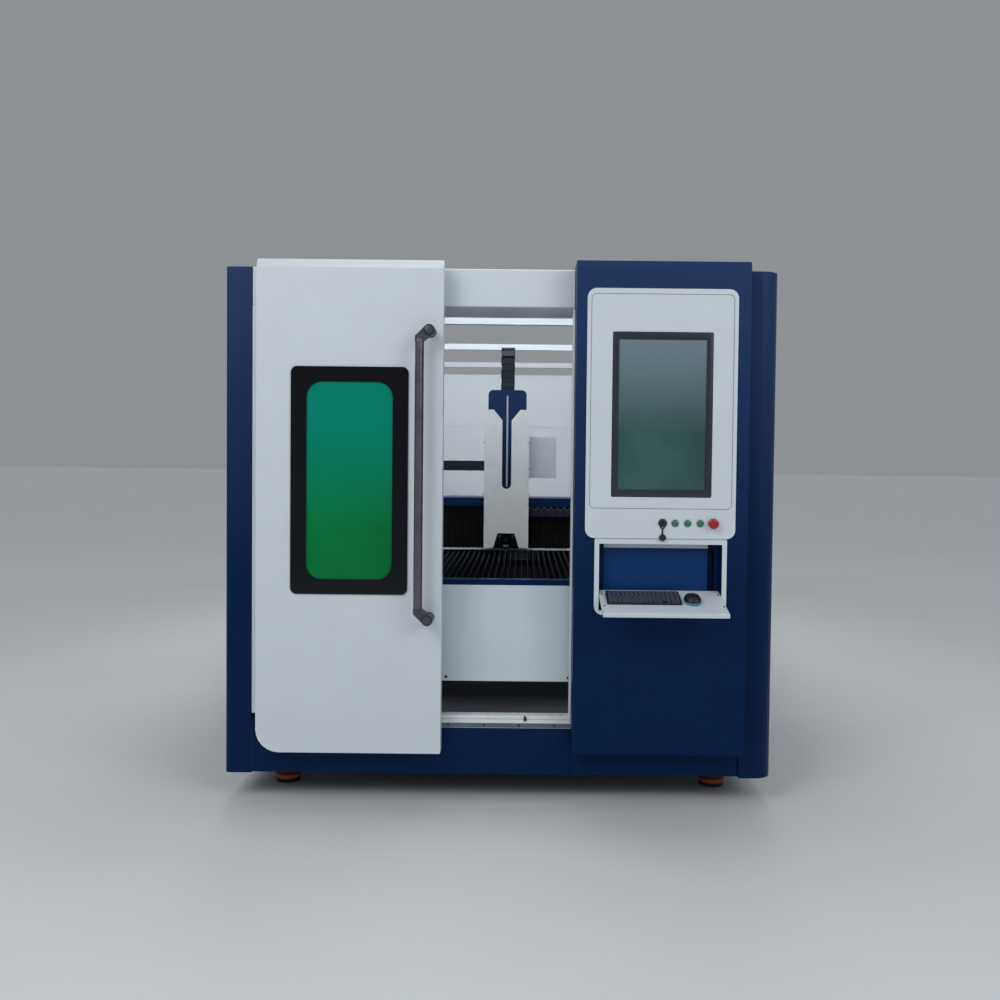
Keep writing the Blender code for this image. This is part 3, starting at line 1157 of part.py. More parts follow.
def make_runners(back):
    """Make the guide rail on the header and the two runners that carry the door."""
    rail_foot = WALL_TOP + SEAT
    rail_top = rail_foot + RAIL_SIZE
    block("door_track", (SILL_LEFT_X, RAIL_RIGHT_X), (RAIL_DEPTH_BACK, RAIL_DEPTH_BACK + RAIL_BED),
          (rail_foot, rail_top), "rail_steel")
    arm_low = WALL_TOP + SWING
    arm_high = arm_low + RUNNER_ARM
    foot = back + SEAT
    near = RAIL_DEPTH_BACK - RUNNING
    far = RAIL_DEPTH_BACK + RAIL_BED + RUNNING
    over = rail_top + SEAT
    top = over + RUNNER_WALL
    profile = [
        (foot, arm_high - RUNNER_FOOT_DROP), (foot + RUNNER_FOOT_THICKNESS, arm_high - RUNNER_FOOT_DROP),
        (foot + RUNNER_FOOT_THICKNESS, arm_low), (near, arm_low), (near, over), (far, over),
        (far, arm_low), (far + RUNNER_WALL, arm_low), (far + RUNNER_WALL, top),
        (near - RUNNER_WALL, top), (near - RUNNER_WALL, arm_high), (foot, arm_high),
    ]
    left = DOOR_LEFT_X + RUNNER_INSET + RUNNER_LENGTH / 2
    right = DOOR_RIGHT_X - RUNNER_INSET - RUNNER_LENGTH / 2
    for side, x in (("left", left), ("right", right)):
        flat_piece("door_runner_" + side, [profile], RUNNER_LENGTH, "SIDE", x, "rail_steel")


def make_gantry():
    """Make the gantry beam with its cross rails and chain shelf, and the end trucks."""
    lip_top = GANTRY_BOTTOM + GANTRY_LIP
    flange_low = GANTRY_TOP - GANTRY_FLANGE
    rail_face = GANTRY_WEB - X_RAIL_DEPTH
    shelf_top = CHAIN_LOWER_Z - CHAIN_HEIGHT / 2 - SEAT
    shelf_rear = CHAIN_FRONT + CHAIN_WIDTH
    profile = [
        (GANTRY_FRONT, GANTRY_BOTTOM), (GANTRY_REAR, GANTRY_BOTTOM), (GANTRY_REAR, GANTRY_TOP),
        (GANTRY_FRONT, GANTRY_TOP), (GANTRY_FRONT, flange_low), (GANTRY_WEB, flange_low),
    ]
    for low in (X_RAIL_HIGH_Z, X_RAIL_LOW_Z):
        high = low + X_RAIL_SIZE
        profile += [(GANTRY_WEB, high), (rail_face, high), (rail_face, low), (GANTRY_WEB, low)]
    profile += [(GANTRY_WEB, lip_top), (GANTRY_FRONT, lip_top)]
    beam = flat_piece("gantry_beam", [profile], 2 * GANTRY_HALF_LENGTH, "SIDE", 0.0, "navy_paint")
    shelf = block("chain_shelf", (SHELF_END_X, CHAIN_FIXED_X), (GANTRY_REAR - CHAIN_BACK, shelf_rear),
                  (shelf_top - SHELF_THICKNESS, shelf_top))
    weld(beam, shelf)
    truck_top = GANTRY_BOTTOM - SEAT
    half_rail = Y_RAIL_WIDTH / 2 + RUNNING
    half = TRUCK_WIDTH / 2
    truck_low = Y_RAIL_TOP - TRUCK_WRAP
    wrap_top = Y_RAIL_TOP + SEAT
    middle = (GANTRY_FRONT + GANTRY_REAR) / 2
    for side, sign in (("left", -1), ("right", 1)):
        centre = sign * Y_RAIL_X
        outline = [
            (centre - half, truck_low), (centre - half_rail, truck_low), (centre - half_rail, wrap_top),
            (centre + half_rail, wrap_top), (centre + half_rail, truck_low), (centre + half, truck_low),
            (centre + half, truck_top), (centre - half, truck_top),
        ]
        flat_piece("gantry_truck_" + side, [outline], TRUCK_LENGTH, "FRONT", middle, "dark_steel")


def make_bellows():
    """Make the two pleated covers that close the beam's front beside the carriage."""
    top = GANTRY_TOP - GANTRY_FLANGE - SEAT
    bottom = GANTRY_BOTTOM + GANTRY_LIP + SEAT
    back = GANTRY_WEB - SEAT
    for side, sign in (("left", -1), ("right", 1)):
        start = sign * (CARRIAGE_HALF_WIDTH + SEAT)
        end = sign * GANTRY_HALF_LENGTH
        stations = 2 * BELLOWS_PLEATS
        rings = []
        for count in range(stations + 1):
            x = start + (end - start) * count / stations
            fold = BELLOWS_FOLD if count % 2 else 0.0
            front = GANTRY_FRONT + SEAT + fold
            high = top - fold / 2
            low = bottom + fold / 2
            inner = front + BELLOWS_SHEET
            section = [
                (back, low), (front, low), (front, high), (back, high), (back, high - BELLOWS_SHEET),
                (inner, high - BELLOWS_SHEET), (inner, low + BELLOWS_SHEET), (back, low + BELLOWS_SHEET),
            ]
            rings.append([(x, depth, z) for depth, z in section])
        loft("bellows_" + side, rings, at(0.0, 0.0, 0.0), "bellows_cloth")


def chain_outline(path, length, height, link):
    """Return the side view of a drag chain that follows a path of (point, normal)."""
    count = max(1, round(length / link))
    pitch = length / count
    top = []
    bottom = []
    for number in range(count):
        last = number == count - 1
        steps = [(0.0, 0.0), (LINK_MIDDLE, 0.0), (LINK_SHOULDER, 0.0)]
        if not last:
            steps.append((LINK_SHOULDER, CHAIN_NOTCH))
        steps.append((1.0, 0.0 if last else CHAIN_NOTCH))
        for share, inset in steps:
            (across, up), (nx, nz) = path((number + share) * pitch)
            reach = height / 2 - inset
            top.append((across + nx * reach, up + nz * reach))
            bottom.append((across - nx * reach, up - nz * reach))
    return top + bottom[::-1]


def straight(start, end):
    """Return a path along a level or upright line, and its length."""
    length = math.hypot(end[0] - start[0], end[1] - start[1])
    along = ((end[0] - start[0]) / length, (end[1] - start[1]) / length)

    def path(distance):
        point = (start[0] + along[0] * distance, start[1] + along[1] * distance)
        return point, (-along[1], along[0])

    return path, length


def arc(centre, radius, start, sweep):
    """Return a path round an arc, and its length."""
    def path(distance):
        angle = start + math.copysign(distance / radius, sweep)
        normal = (math.cos(angle), math.sin(angle))
        return (centre[0] + radius * normal[0], centre[1] + radius * normal[1]), normal

    return path, abs(sweep) * radius


def make_x_chain():
    """Make the cross drag chain: moving upper run, rolling bend and lower run."""
    middle = CHAIN_FRONT + CHAIN_WIDTH / 2
    bend_start = CHAIN_BEND_X - SEAT
    upper = straight((CARRIAGE_HALF_WIDTH, CHAIN_UPPER_Z), (CHAIN_BEND_X, CHAIN_UPPER_Z))
    lower = straight((CHAIN_FIXED_X, CHAIN_LOWER_Z), (CHAIN_BEND_X, CHAIN_LOWER_Z))
    bend = arc((bend_start, (CHAIN_UPPER_Z + CHAIN_LOWER_Z) / 2), CHAIN_RADIUS, math.pi / 2, math.pi)
    for name, (path, length) in (("x_chain_upper", upper), ("x_chain_lower", lower), ("x_chain_bend", bend)):
        flat_piece(name, [chain_outline(path, length, CHAIN_HEIGHT, CHAIN_LINK)], CHAIN_WIDTH, "FRONT",
                   middle, "chain_plastic")


def make_carriage():
    """Make the cross carriage, its side plate and the upright drag chain."""
    half = CARRIAGE_HALF_WIDTH
    plate_back = CARRIAGE_FACE + CARRIAGE_PLATE
    carriage = block("x_carriage", (-half, half), (CARRIAGE_FACE, plate_back),
                     (CARRIAGE_BOTTOM, CARRIAGE_TOP), "dark_steel")
    block_top = GANTRY_TOP - GANTRY_FLANGE - SWING
    slider = block("carriage_slider", (-half, half), (CARRIAGE_FACE, GANTRY_WEB - SWING),
                   (CARRIAGE_BOTTOM, block_top))
    for level, low in (("low", X_RAIL_LOW_Z), ("high", X_RAIL_HIGH_Z)):
        slot = block("x_rail_slot_cutter_" + level, (-2 * half, 2 * half),
                     (GANTRY_WEB - X_RAIL_DEPTH - SEAT, GANTRY_REAR),
                     (low - SEAT, low + X_RAIL_SIZE + SEAT))
        cut(slider, slot)
    arm_top = CHAIN_UPPER_Z - CHAIN_HEIGHT / 2 - SEAT
    arm = block("chain_arm", (-half, half), (CARRIAGE_FACE, CHAIN_FRONT + CHAIN_WIDTH),
                (arm_top - ARM_THICKNESS, arm_top))
    weld(carriage, slider, arm)
    for sign in (-1, 1):
        x = sign * Z_RAIL_X
        weld(carriage, block("z_rail_{}".format("left" if sign < 0 else "right"),
                             (x - Z_RAIL_WIDTH / 2, x + Z_RAIL_WIDTH / 2),
                             (CARRIAGE_FACE - Z_RAIL_DEPTH, CARRIAGE_FACE + CARRIAGE_PLATE / 2),
                             (CARRIAGE_BOTTOM + SWING, CARRIAGE_TOP - SWING)))
    block("side_plate", (half + SEAT, half + SEAT + SIDE_PLATE_WIDTH),
          (CARRIAGE_FACE, CARRIAGE_FACE + SIDE_PLATE_SHEET), (SIDE_PLATE_BOTTOM, SIDE_PLATE_TOP),
          "grey_sheet")
    make_z_chain(arm_top)


def make_z_chain(arm_top):
    """Make the upright drag chain: front leg, bend and rear leg as one loop."""
    front = HEAD_PLATE_FRONT + HEAD_PLATE_THICKNESS + SWING + Z_CHAIN_HEIGHT / 2
    bend_z = Z_CHAIN_TOP - Z_CHAIN_HEIGHT / 2 - Z_CHAIN_RADIUS
    rear = front + 2 * Z_CHAIN_RADIUS
    up, rise = straight((front, CARRIAGE_TOP + SWING), (front, bend_z))
    over, turn = arc((front + Z_CHAIN_RADIUS, bend_z), Z_CHAIN_RADIUS, math.pi, -math.pi)
    down, drop = straight((rear, bend_z), (rear, arm_top + SEAT))

    def path(distance):
        if distance <= rise:
            return up(distance)
        if distance <= rise + turn:
            return over(distance - rise)
        return down(distance - rise - turn)

    outline = chain_outline(path, rise + turn + drop, Z_CHAIN_HEIGHT, Z_CHAIN_LINK)
    flat_piece("z_chain", [outline], 2 * Z_CHAIN_HALF_WIDTH, "SIDE", 0.0, "chain_plastic")


def make_head():
    """Make the sliding head plate, its cover and the cutting head."""
    top_half = rounded((-HEAD_PLATE_HALF_WIDTH, HEAD_PLATE_BOTTOM), (HEAD_PLATE_HALF_WIDTH, HEAD_PLATE_TOP),
                       (0.0, 0.0, HEAD_PLATE_RADIUS, HEAD_PLATE_RADIUS))
    back = HEAD_PLATE_FRONT + HEAD_PLATE_THICKNESS
    plate = flat_piece("head_plate", [top_half], HEAD_PLATE_THICKNESS, "FRONT",
                       HEAD_PLATE_FRONT + HEAD_PLATE_THICKNESS / 2, "navy_paint")
    for sign, side in ((-1, "left"), (1, "right")):
        x = sign * Z_RAIL_X
        for level, rise in (("low", PAD_LOW), ("high", PAD_HIGH)):
            z = HEAD_PLATE_BOTTOM + rise
            pad = block("pad_{}_{}".format(side, level), (x - PAD_HALF_WIDTH, x + PAD_HALF_WIDTH),
                        (back - SWING, CARRIAGE_FACE - SEAT), (z - PAD_HALF_HEIGHT, z + PAD_HALF_HEIGHT))
            weld(plate, pad)
        slot = block("z_rail_slot_cutter_" + side, (x - Z_RAIL_WIDTH / 2 - SEAT, x + Z_RAIL_WIDTH / 2 + SEAT),
                     (CARRIAGE_FACE - Z_RAIL_DEPTH - SEAT, CARRIAGE_FACE + SWING),
                     (HEAD_PLATE_BOTTOM, HEAD_PLATE_TOP))
        cut(plate, slot)
    weld(plate, block("scale_strip", (-STRIP_HALF_WIDTH, STRIP_HALF_WIDTH),
                      (HEAD_PLATE_FRONT - STRIP_THICKNESS, HEAD_PLATE_FRONT + STRIP_THICKNESS),
                      (HEAD_PLATE_BOTTOM + STRIP_RISE, HEAD_PLATE_TOP - STRIP_DROP)))
    make_head_cover()
    make_cutting_head()


def make_head_cover():
    """Make the folded cover: notched and slotted front, sides and inner lips."""
    slot_steps = ARC_STEPS * 2
    slot_z = SLOT_BOTTOM + SLOT_HALF_WIDTH
    slot = [(SLOT_HALF_WIDTH * math.cos(-math.pi * n / slot_steps),
             slot_z + SLOT_HALF_WIDTH * math.sin(-math.pi * n / slot_steps)) for n in range(slot_steps + 1)]
    front = [
        (-COVER_HALF_WIDTH, COVER_BOTTOM), (-MOUTH_BOTTOM_HALF, COVER_BOTTOM), (-MOUTH_TOP_HALF, MOUTH_TOP),
        (MOUTH_TOP_HALF, MOUTH_TOP), (MOUTH_BOTTOM_HALF, COVER_BOTTOM), (COVER_HALF_WIDTH, COVER_BOTTOM),
        (COVER_HALF_WIDTH, COVER_TOP), (SHOULDER_X, COVER_TOP), (SLOT_HALF_WIDTH, SLOT_TOP),
    ] + slot + [(-SLOT_HALF_WIDTH, SLOT_TOP), (-SHOULDER_X, COVER_TOP), (-COVER_HALF_WIDTH, COVER_TOP)]
    middle = COVER_FRONT + COVER_SHEET / 2
    cover = flat_piece("head_cover", [front], COVER_SHEET, "FRONT", middle, "white_paint")
    back = HEAD_PLATE_FRONT - SEAT
    for side, sign in (("left", -1), ("right", 1)):
        outer = sign * COVER_HALF_WIDTH
        inner = sign * (COVER_HALF_WIDTH - COVER_SHEET)
        lip = sign * (COVER_HALF_WIDTH - COVER_SHEET - COVER_LIP)
        fold = [(outer, middle), (inner, middle),
                (inner, back - COVER_SHEET), (lip, back - COVER_SHEET), (lip, back), (outer, back)]
        weld(cover, flat_piece("cover_side_" + side, [fold], COVER_TOP - COVER_BOTTOM, "TOP",
                               (COVER_TOP + COVER_BOTTOM) / 2))


def make_cutting_head():
    """Make the cutting head: turned body, collars and nozzle on a mounting block."""
    profile = [
        (0.0, HEAD_HEIGHT), (HEAD_RADIUS, HEAD_HEIGHT), (HEAD_RADIUS, BODY_LOW),
        (HEAD_WAIST_RADIUS, WAIST_HIGH), (HEAD_WAIST_RADIUS, WAIST_LOW), (HEAD_RADIUS, COLLAR_HIGH),
        (HEAD_RADIUS, COLLAR_LOW), (HOLDER_RADIUS, HOLDER_HIGH), (HOLDER_RADIUS, HOLDER_LOW),
        (NOZZLE_RADIUS, NOZZLE_HEIGHT), (NOZZLE_TIP_RADIUS, 0.0), (0.0, 0.0),
    ]
    head = turned("cutting_head", profile, at(0.0, HEAD_AXIS, NOZZLE_TIP), "UP", "dark_steel")
    weld(head, block("head_block", (-HEAD_BLOCK_HALF, HEAD_BLOCK_HALF),
                     (HEAD_AXIS + HEAD_RADIUS / 2, HEAD_PLATE_FRONT - SEAT),
                     (NOZZLE_TIP + HEAD_BLOCK_RISE, HEAD_TOP - SWING)))


clear_scene()
PARTS = new_collection("laser_cutting_machine")
CUTTERS = new_collection("cutters")
make_base()
make_walls()
make_sill()
make_bed()
make_cabinet()
make_control_panel()
make_buttons()
make_port_cap()
make_tray()
make_door()
make_gantry()
make_bellows()
make_x_chain()
make_carriage()
make_head()
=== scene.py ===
"""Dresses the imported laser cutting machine: finishes, fine pieces, light and camera."""

import json
import logging
import math
from collections.abc import Sequence
from dataclasses import dataclass, field
from enum import Enum

import bmesh
import bpy
from mathutils import Euler, Matrix, Vector
from mathutils.geometry import convex_hull_2d

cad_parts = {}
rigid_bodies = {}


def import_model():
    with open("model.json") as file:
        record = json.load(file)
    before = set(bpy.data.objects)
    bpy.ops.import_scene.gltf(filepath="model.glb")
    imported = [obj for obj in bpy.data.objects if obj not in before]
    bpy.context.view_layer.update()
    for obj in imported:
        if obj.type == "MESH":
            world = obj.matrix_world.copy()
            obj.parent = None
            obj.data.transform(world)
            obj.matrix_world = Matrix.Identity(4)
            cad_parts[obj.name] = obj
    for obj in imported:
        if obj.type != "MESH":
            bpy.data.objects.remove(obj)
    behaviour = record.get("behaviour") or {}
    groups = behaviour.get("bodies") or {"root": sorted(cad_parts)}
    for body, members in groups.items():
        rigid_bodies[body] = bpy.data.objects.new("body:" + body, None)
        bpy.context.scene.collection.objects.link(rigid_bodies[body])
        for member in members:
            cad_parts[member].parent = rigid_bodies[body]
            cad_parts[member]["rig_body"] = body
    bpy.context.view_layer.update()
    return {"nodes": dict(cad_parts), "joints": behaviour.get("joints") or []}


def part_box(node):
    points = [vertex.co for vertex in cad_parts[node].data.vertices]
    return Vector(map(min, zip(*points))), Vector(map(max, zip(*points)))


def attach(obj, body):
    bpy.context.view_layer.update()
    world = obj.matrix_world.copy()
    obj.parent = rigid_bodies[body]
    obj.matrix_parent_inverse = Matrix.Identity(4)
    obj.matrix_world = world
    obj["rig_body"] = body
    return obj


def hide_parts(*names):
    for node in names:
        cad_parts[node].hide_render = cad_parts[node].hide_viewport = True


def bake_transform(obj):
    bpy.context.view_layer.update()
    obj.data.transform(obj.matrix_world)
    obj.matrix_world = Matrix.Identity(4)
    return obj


LOG = logging.getLogger("machine")
Point2 = tuple[float, float]
MM = 0.001


class Surface(Enum):
    """How a surface was made, which sets the form of its relief."""

    SPRAYED = "sprayed"
    BRUSHED = "brushed"
    MOULDED = "moulded"
    WOVEN = "woven"
    POLISHED = "polished"


class Axis(Enum):
    """The direction in which an outline is drawn out, with its two plane axes."""

    X = (1, 2, 0)
    Y = (0, 2, 1)
    Z = (0, 1, 2)


def linear(code: str) -> tuple[float, float, float, float]:
    """Turn an sRGB hex colour into linear light.

    Args:
        code: six hex digits.

    Returns:
        Red, green, blue and a full alpha.
    """
    parts = [int(code[n:n + 2], 16) / 255 for n in (0, 2, 4)]
    red, green, blue = [c / 12.92 if c <= 0.04045 else ((c + 0.055) / 1.055) ** 2.4 for c in parts]
    return red, green, blue, 1.0


def add_node(
    tree: bpy.types.NodeTree,
    kind: str,
    settings: dict | None = None,
    links: dict | None = None,
) -> bpy.types.Node:
    """Add a shader node with its settings and links.

    Args:
        tree: the material's node tree.
        kind: the node's type name.
        settings: values by socket name or number, or by attribute name in lower case.
        links: output sockets by the name or number of the input they feed.

    Returns:
        The new node.
    """
    node = tree.nodes.new(kind)
    for key, value in (settings or {}).items():
        if isinstance(key, str) and key[0].islower():
            setattr(node, key, value)
        else:
            node.inputs[key].default_value = value
    for key, socket in (links or {}).items():
        tree.links.new(socket, node.inputs[key])
    return node


@dataclass(frozen=True)
class Finish:
    """One real material and the way its surface was made."""

    name: str
    colour: str
    roughness: float
    surface: Surface
    relief_mm: tuple[float, float, float]
    depth_mm: float
    metallic: float = 0.0
    tone: float = 0.04
    tone_mm: float = 180.0
    gloss_change: float = 0.06
    coat: float = 0.0
    sheen: float = 0.0
    transmission: float = 0.0
    ior: float = 1.5
    specular: float = 0.5
    crest_colour: str = ""
    crest_axis: str = "Z"
    crest_span: tuple[float, float] = (0.0, 1.0)

    def material(self) -> bpy.types.Material:
        """Build the material, or return it when it is there.

        Returns:
            The procedural material.
        """
        if self.name in bpy.data.materials:
            return bpy.data.materials[self.name]
        made = bpy.data.materials.new(self.name)
        made.use_nodes = True
        tree = made.node_tree
        shader = tree.nodes["Principled BSDF"]
        place = add_node(tree, "ShaderNodeTexCoord").outputs["Object"]
        tree.links.new(self._colour(tree, place), shader.inputs["Base Color"])
        tree.links.new(self._roughness(tree, place), shader.inputs["Roughness"])
        tree.links.new(self._relief(tree, place), shader.inputs["Normal"])
        shader.inputs["Metallic"].default_value = self.metallic
        shader.inputs["Coat Weight"].default_value = self.coat
        shader.inputs["Coat Roughness"].default_value = 0.05
        shader.inputs["Sheen Weight"].default_value = self.sheen
        shader.inputs["Transmission Weight"].default_value = self.transmission
        shader.inputs["Specular IOR Level"].default_value = self.specular
        if not self.metallic:
            shader.inputs["IOR"].default_value = self.ior
        return made

    def _colour(self, tree: bpy.types.NodeTree, place: bpy.types.NodeSocket) -> bpy.types.NodeSocket:
        """Vary the colour slowly, and blend to a crest colour along one axis where the finish has one: painted light
        on the navy coat, acrylic and screen glass, painted shade on the pan, and wear on the slats' tips.

        Args:
            tree: the material's node tree.
            place: the object coordinates.

        Returns:
            The colour socket.
        """
        drift = add_node(tree, "ShaderNodeTexNoise",
                         {"Scale": 1 / (self.tone_mm * MM), "Detail": 4.0, "Roughness": 0.6}, {"Vector": place})
        ramp = add_node(tree, "ShaderNodeValToRGB", links={"Fac": drift.outputs[0]})
        base = linear(self.colour)
        for element, share in zip(ramp.color_ramp.elements, (1 - self.tone, 1 + self.tone)):
            element.color = (*[min(1.0, c * share) for c in base[:3]], 1.0)
        ramp.color_ramp.elements[0].position = 0.3
        ramp.color_ramp.elements[1].position = 0.7
        if not self.crest_colour:
            return ramp.outputs["Color"]
        split = add_node(tree, "ShaderNodeSeparateXYZ", links={"Vector": place})
        share = add_node(tree, "ShaderNodeMapRange",
                         {"From Min": self.crest_span[0], "From Max": self.crest_span[1]},
                         {"Value": split.outputs[self.crest_axis]})
        mixed = add_node(tree, "ShaderNodeMix", {"data_type": "RGBA", 7: linear(self.crest_colour)},
                         {0: share.outputs["Result"], 6: ramp.outputs["Color"]})
        return mixed.outputs[2]

    def _roughness(self, tree: bpy.types.NodeTree, place: bpy.types.NodeSocket) -> bpy.types.NodeSocket:
        """Vary the gloss as handling and dust do.

        Args:
            tree: the material's node tree.
            place: the object coordinates.

        Returns:
            The roughness socket.
        """
        smudge = add_node(tree, "ShaderNodeTexNoise",
                          {"Scale": 1 / (60 * MM), "Detail": 6.0, "Roughness": 0.65}, {"Vector": place})
        span = add_node(tree, "ShaderNodeMapRange", {
            "From Min": 0.3, "From Max": 0.7,
            "To Min": max(0.02, self.roughness - self.gloss_change),
            "To Max": min(1.0, self.roughness + self.gloss_change),
        }, {"Value": smudge.outputs[0]})
        return span.outputs["Result"]

    def _relief(self, tree: bpy.types.NodeTree, place: bpy.types.NodeSocket) -> bpy.types.NodeSocket:
        """Give the surface the relief that its making leaves.

        Args:
            tree: the material's node tree.
            place: the object coordinates.

        Returns:
            The normal socket.
        """
        scale = [1 / (size * MM) for size in self.relief_mm]
        mapped = add_node(tree, "ShaderNodeMapping", {"Scale": scale}, {"Vector": place}).outputs["Vector"]
        if self.surface is Surface.WOVEN:
            over = add_node(tree, "ShaderNodeTexWave", {"bands_direction": "DIAGONAL", "Scale": 0.5},
                            {"Vector": mapped})
            height = over.outputs["Fac"]
        elif self.surface is Surface.MOULDED:
            cells = add_node(tree, "ShaderNodeTexVoronoi", {"feature": "SMOOTH_F1", "Scale": 1.0},
                             {"Vector": mapped})
            height = cells.outputs["Distance"]
        else:
            noise = add_node(tree, "ShaderNodeTexNoise",
                             {"Scale": 1.0, "Detail": 3.0 if self.surface is Surface.BRUSHED else 1.0},
                             {"Vector": mapped})
            height = noise.outputs[0]
        bump = add_node(tree, "ShaderNodeBump", {"Strength": 1.0, "Distance": self.depth_mm * MM},
                        {"Height": height})
        return bump.outputs["Normal"]


# Polyester powder coat: a soft gloss broken by orange peel about 2 mm across, drawn at 5 mm to show. Its colour
# is painted lighter and greyer towards the top: painted light where the coat faces the sky.
NAVY_COAT = Finish("powder_coat_navy", "01214A", 0.36, Surface.SPRAYED, (5, 5, 5), 0.04, tone=0.05,
                   gloss_change=0.03, specular=0.1, crest_colour="263A65", crest_span=(0.9, 1.9))
WHITE_COAT = Finish("powder_coat_white", "D6DEE6", 0.42, Surface.SPRAYED, (5, 5, 5), 0.04, tone=0.02, coat=0.1)
BLACK_COAT = Finish("powder_coat_black", "131518", 0.45, Surface.SPRAYED, (3, 3, 3), 0.05, tone=0.15)
# Brushed-on primer: thick and matt, with lap marks and dust that break the orange.
ORANGE_COAT = Finish("primer_orange", "A5502C", 0.6, Surface.SPRAYED, (6, 6, 6), 0.2, tone=0.2, tone_mm=25)
# Cold-rolled stainless sheet: long upright grinding lines that spread the highlight across them.
SATIN_STEEL = Finish("stainless_ground", "DBE7EF", 0.4, Surface.BRUSHED, (0.8, 0.8, 60), 0.01, 0.4, tone=0.06,
                     tone_mm=420)
# Ground steel: fine lines along the run, with a clean hard shine.
RAIL_STEEL = Finish("rail_steel_ground", "B4BBC4", 0.3, Surface.BRUSHED, (1, 80, 1), 0.008, 0.9)
# Drawn steel track: dulled by handling, with a low grey shine along the run.
TRACK_STEEL = Finish("track_steel_drawn", "66707C", 0.45, Surface.BRUSHED, (80, 1, 1), 0.01, 0.5, tone=0.12)
# Oiled black steel: nearly matt, with a dull metal glint.
DARK_STEEL = Finish("steel_blackened", "2C3037", 0.42, Surface.SPRAYED, (2, 2, 2), 0.03, 0.8, tone=0.1)
# Galvanised pan under the slats: dulled by cutting dust that lies in patches, with painted shade that darkens it from
# the front towards the rear, under the slats.
PAN_STEEL_DUST_AND_SHADE = Finish("pan_steel_dust_and_shade", "1D2229", 0.85, Surface.SPRAYED, (60, 9, 9), 0.5, 0.1, tone=0.25, tone_mm=90,
                     specular=0.2, crest_colour="63686F", crest_axis="Y", crest_span=(-1.02, -1.22))
# Hot-rolled slats: blue-black mill scale, worn bright along the tips.
SLAT_STEEL = Finish("mill_scale_steel", "141922", 0.6, Surface.SPRAYED, (8, 3, 3), 0.12, 0.15, tone=0.5,
                    tone_mm=12, specular=0.15, crest_colour="232932", crest_span=(0.8765, 0.8795))
# Extruded aluminium: die lines along its length.
ALUMINIUM = Finish("aluminium_extruded", "CDD3DA", 0.34, Surface.BRUSHED, (90, 1, 1), 0.008, 0.7)
# Anodised tube: drawn lines along it under a brown-black oxide that keeps the metal's shine.
BRONZE_TUBE = Finish("anodised_bronze", "6E6670", 0.28, Surface.BRUSHED, (1, 1, 60), 0.012, 0.75, tone=0.1,
                     tone_mm=60)
# Zinc die casting under dark grey paint: soft edges and a dense low shine.
CAST_GREY = Finish("die_cast_painted", "464A51", 0.36, Surface.SPRAYED, (4, 4, 4), 0.04, 0.2, tone=0.08)
# Coated polyester cloth: a 1 mm basket weave drawn at 3 mm to show, with the coating's dull sheen.
BELLOWS_CLOTH = Finish("coated_cloth_black", "0B0C12", 0.75, Surface.WOVEN, (3, 3, 3), 0.1, sheen=0.03,
                       tone=0.2, specular=0.15)
# The same cloth in a paler colour: a painted highlight on the folded strip that shows its folds.
HOOD_CLOTH = Finish("coated_cloth_painted_highlight", "2B2F48", 0.6, Surface.WOVEN, (3, 3, 3), 0.1, sheen=0.05,
                    tone=0.15, specular=0.2)
# Glass-filled nylon: a fine moulded grain that greys the black.
CHAIN_NYLON = Finish("nylon_moulded_black", "222830", 0.6, Surface.MOULDED, (1.5, 1.5, 1.5), 0.05, tone=0.1,
                     specular=0.15)
# Tinted acrylic sheet: mirror smooth, with a slow waviness that bends reflections; its colour is painted bluer
# towards the top as painted light.
GREEN_ACRYLIC = Finish("acrylic_laser_green", "00783F", 0.05, Surface.POLISHED, (300, 300, 300), 0.3, coat=0.05,
                       tone=0.2, tone_mm=420, gloss_change=0.02, ior=1.49, specular=0.15,
                       crest_colour="008A74", crest_span=(1.12, 1.5))
# Acrylic painted on its back: deep black under a clear gloss.
GLOSS_BLACK = Finish("acrylic_gloss_black", "070A10", 0.07, Surface.POLISHED, (300, 300, 300), 0.2, coat=0.05,
                     gloss_change=0.02, ior=1.49, specular=0.25)
# Float glass over a dark display: smooth, with a pale painted reflection towards its top.
SCREEN_GLASS = Finish("float_glass_screen", "2E5856", 0.05, Surface.POLISHED, (400, 400, 400), 0.3, coat=0.5,
                      tone=0.3, tone_mm=330, gloss_change=0.02, ior=1.52, crest_colour="768894",
                      crest_span=(1.47, 1.83))
# Painted steel bezel: near black, satin.
BEZEL_PAINT = Finish("bezel_satin_black", "262D36", 0.3, Surface.SPRAYED, (4, 4, 4), 0.01, tone=0.1, tone_mm=200)
# ABS: fine spark-eroded texture on keys and caps.
KEY_ABS = Finish("abs_key_slate", "3C4854", 0.5, Surface.MOULDED, (0.8, 0.8, 0.8), 0.03, tone=0.06)
BLACK_ABS = Finish("abs_black", "17181B", 0.4, Surface.MOULDED, (0.8, 0.8, 0.8), 0.03, tone=0.1)
TEAL_ABS = Finish("abs_teal_gloss", "1598AC", 0.25, Surface.POLISHED, (40, 40, 40), 0.02, coat=0.5)
# Polycarbonate: clear-bodied colour with a moulded shine.
GREEN_LENS = Finish("polycarbonate_green", "007F5C", 0.2, Surface.POLISHED, (20, 20, 20), 0.05, coat=0.5)
RED_CAP = Finish("polycarbonate_red", "9E1626", 0.3, Surface.MOULDED, (1, 1, 1), 0.02, coat=0.1)
# Chrome plate: a mirror with the faint unevenness of the metal under it.
CHROME = Finish("chrome_plated", "DADDE0", 0.14, Surface.POLISHED, (30, 30, 30), 0.02, 1.0)
# Satin nickel plate: a soft grey metal shine, without mirror flashes.
NICKEL = Finish("nickel_satin", "8F979F", 0.4, Surface.POLISHED, (10, 10, 10), 0.02, 0.6)
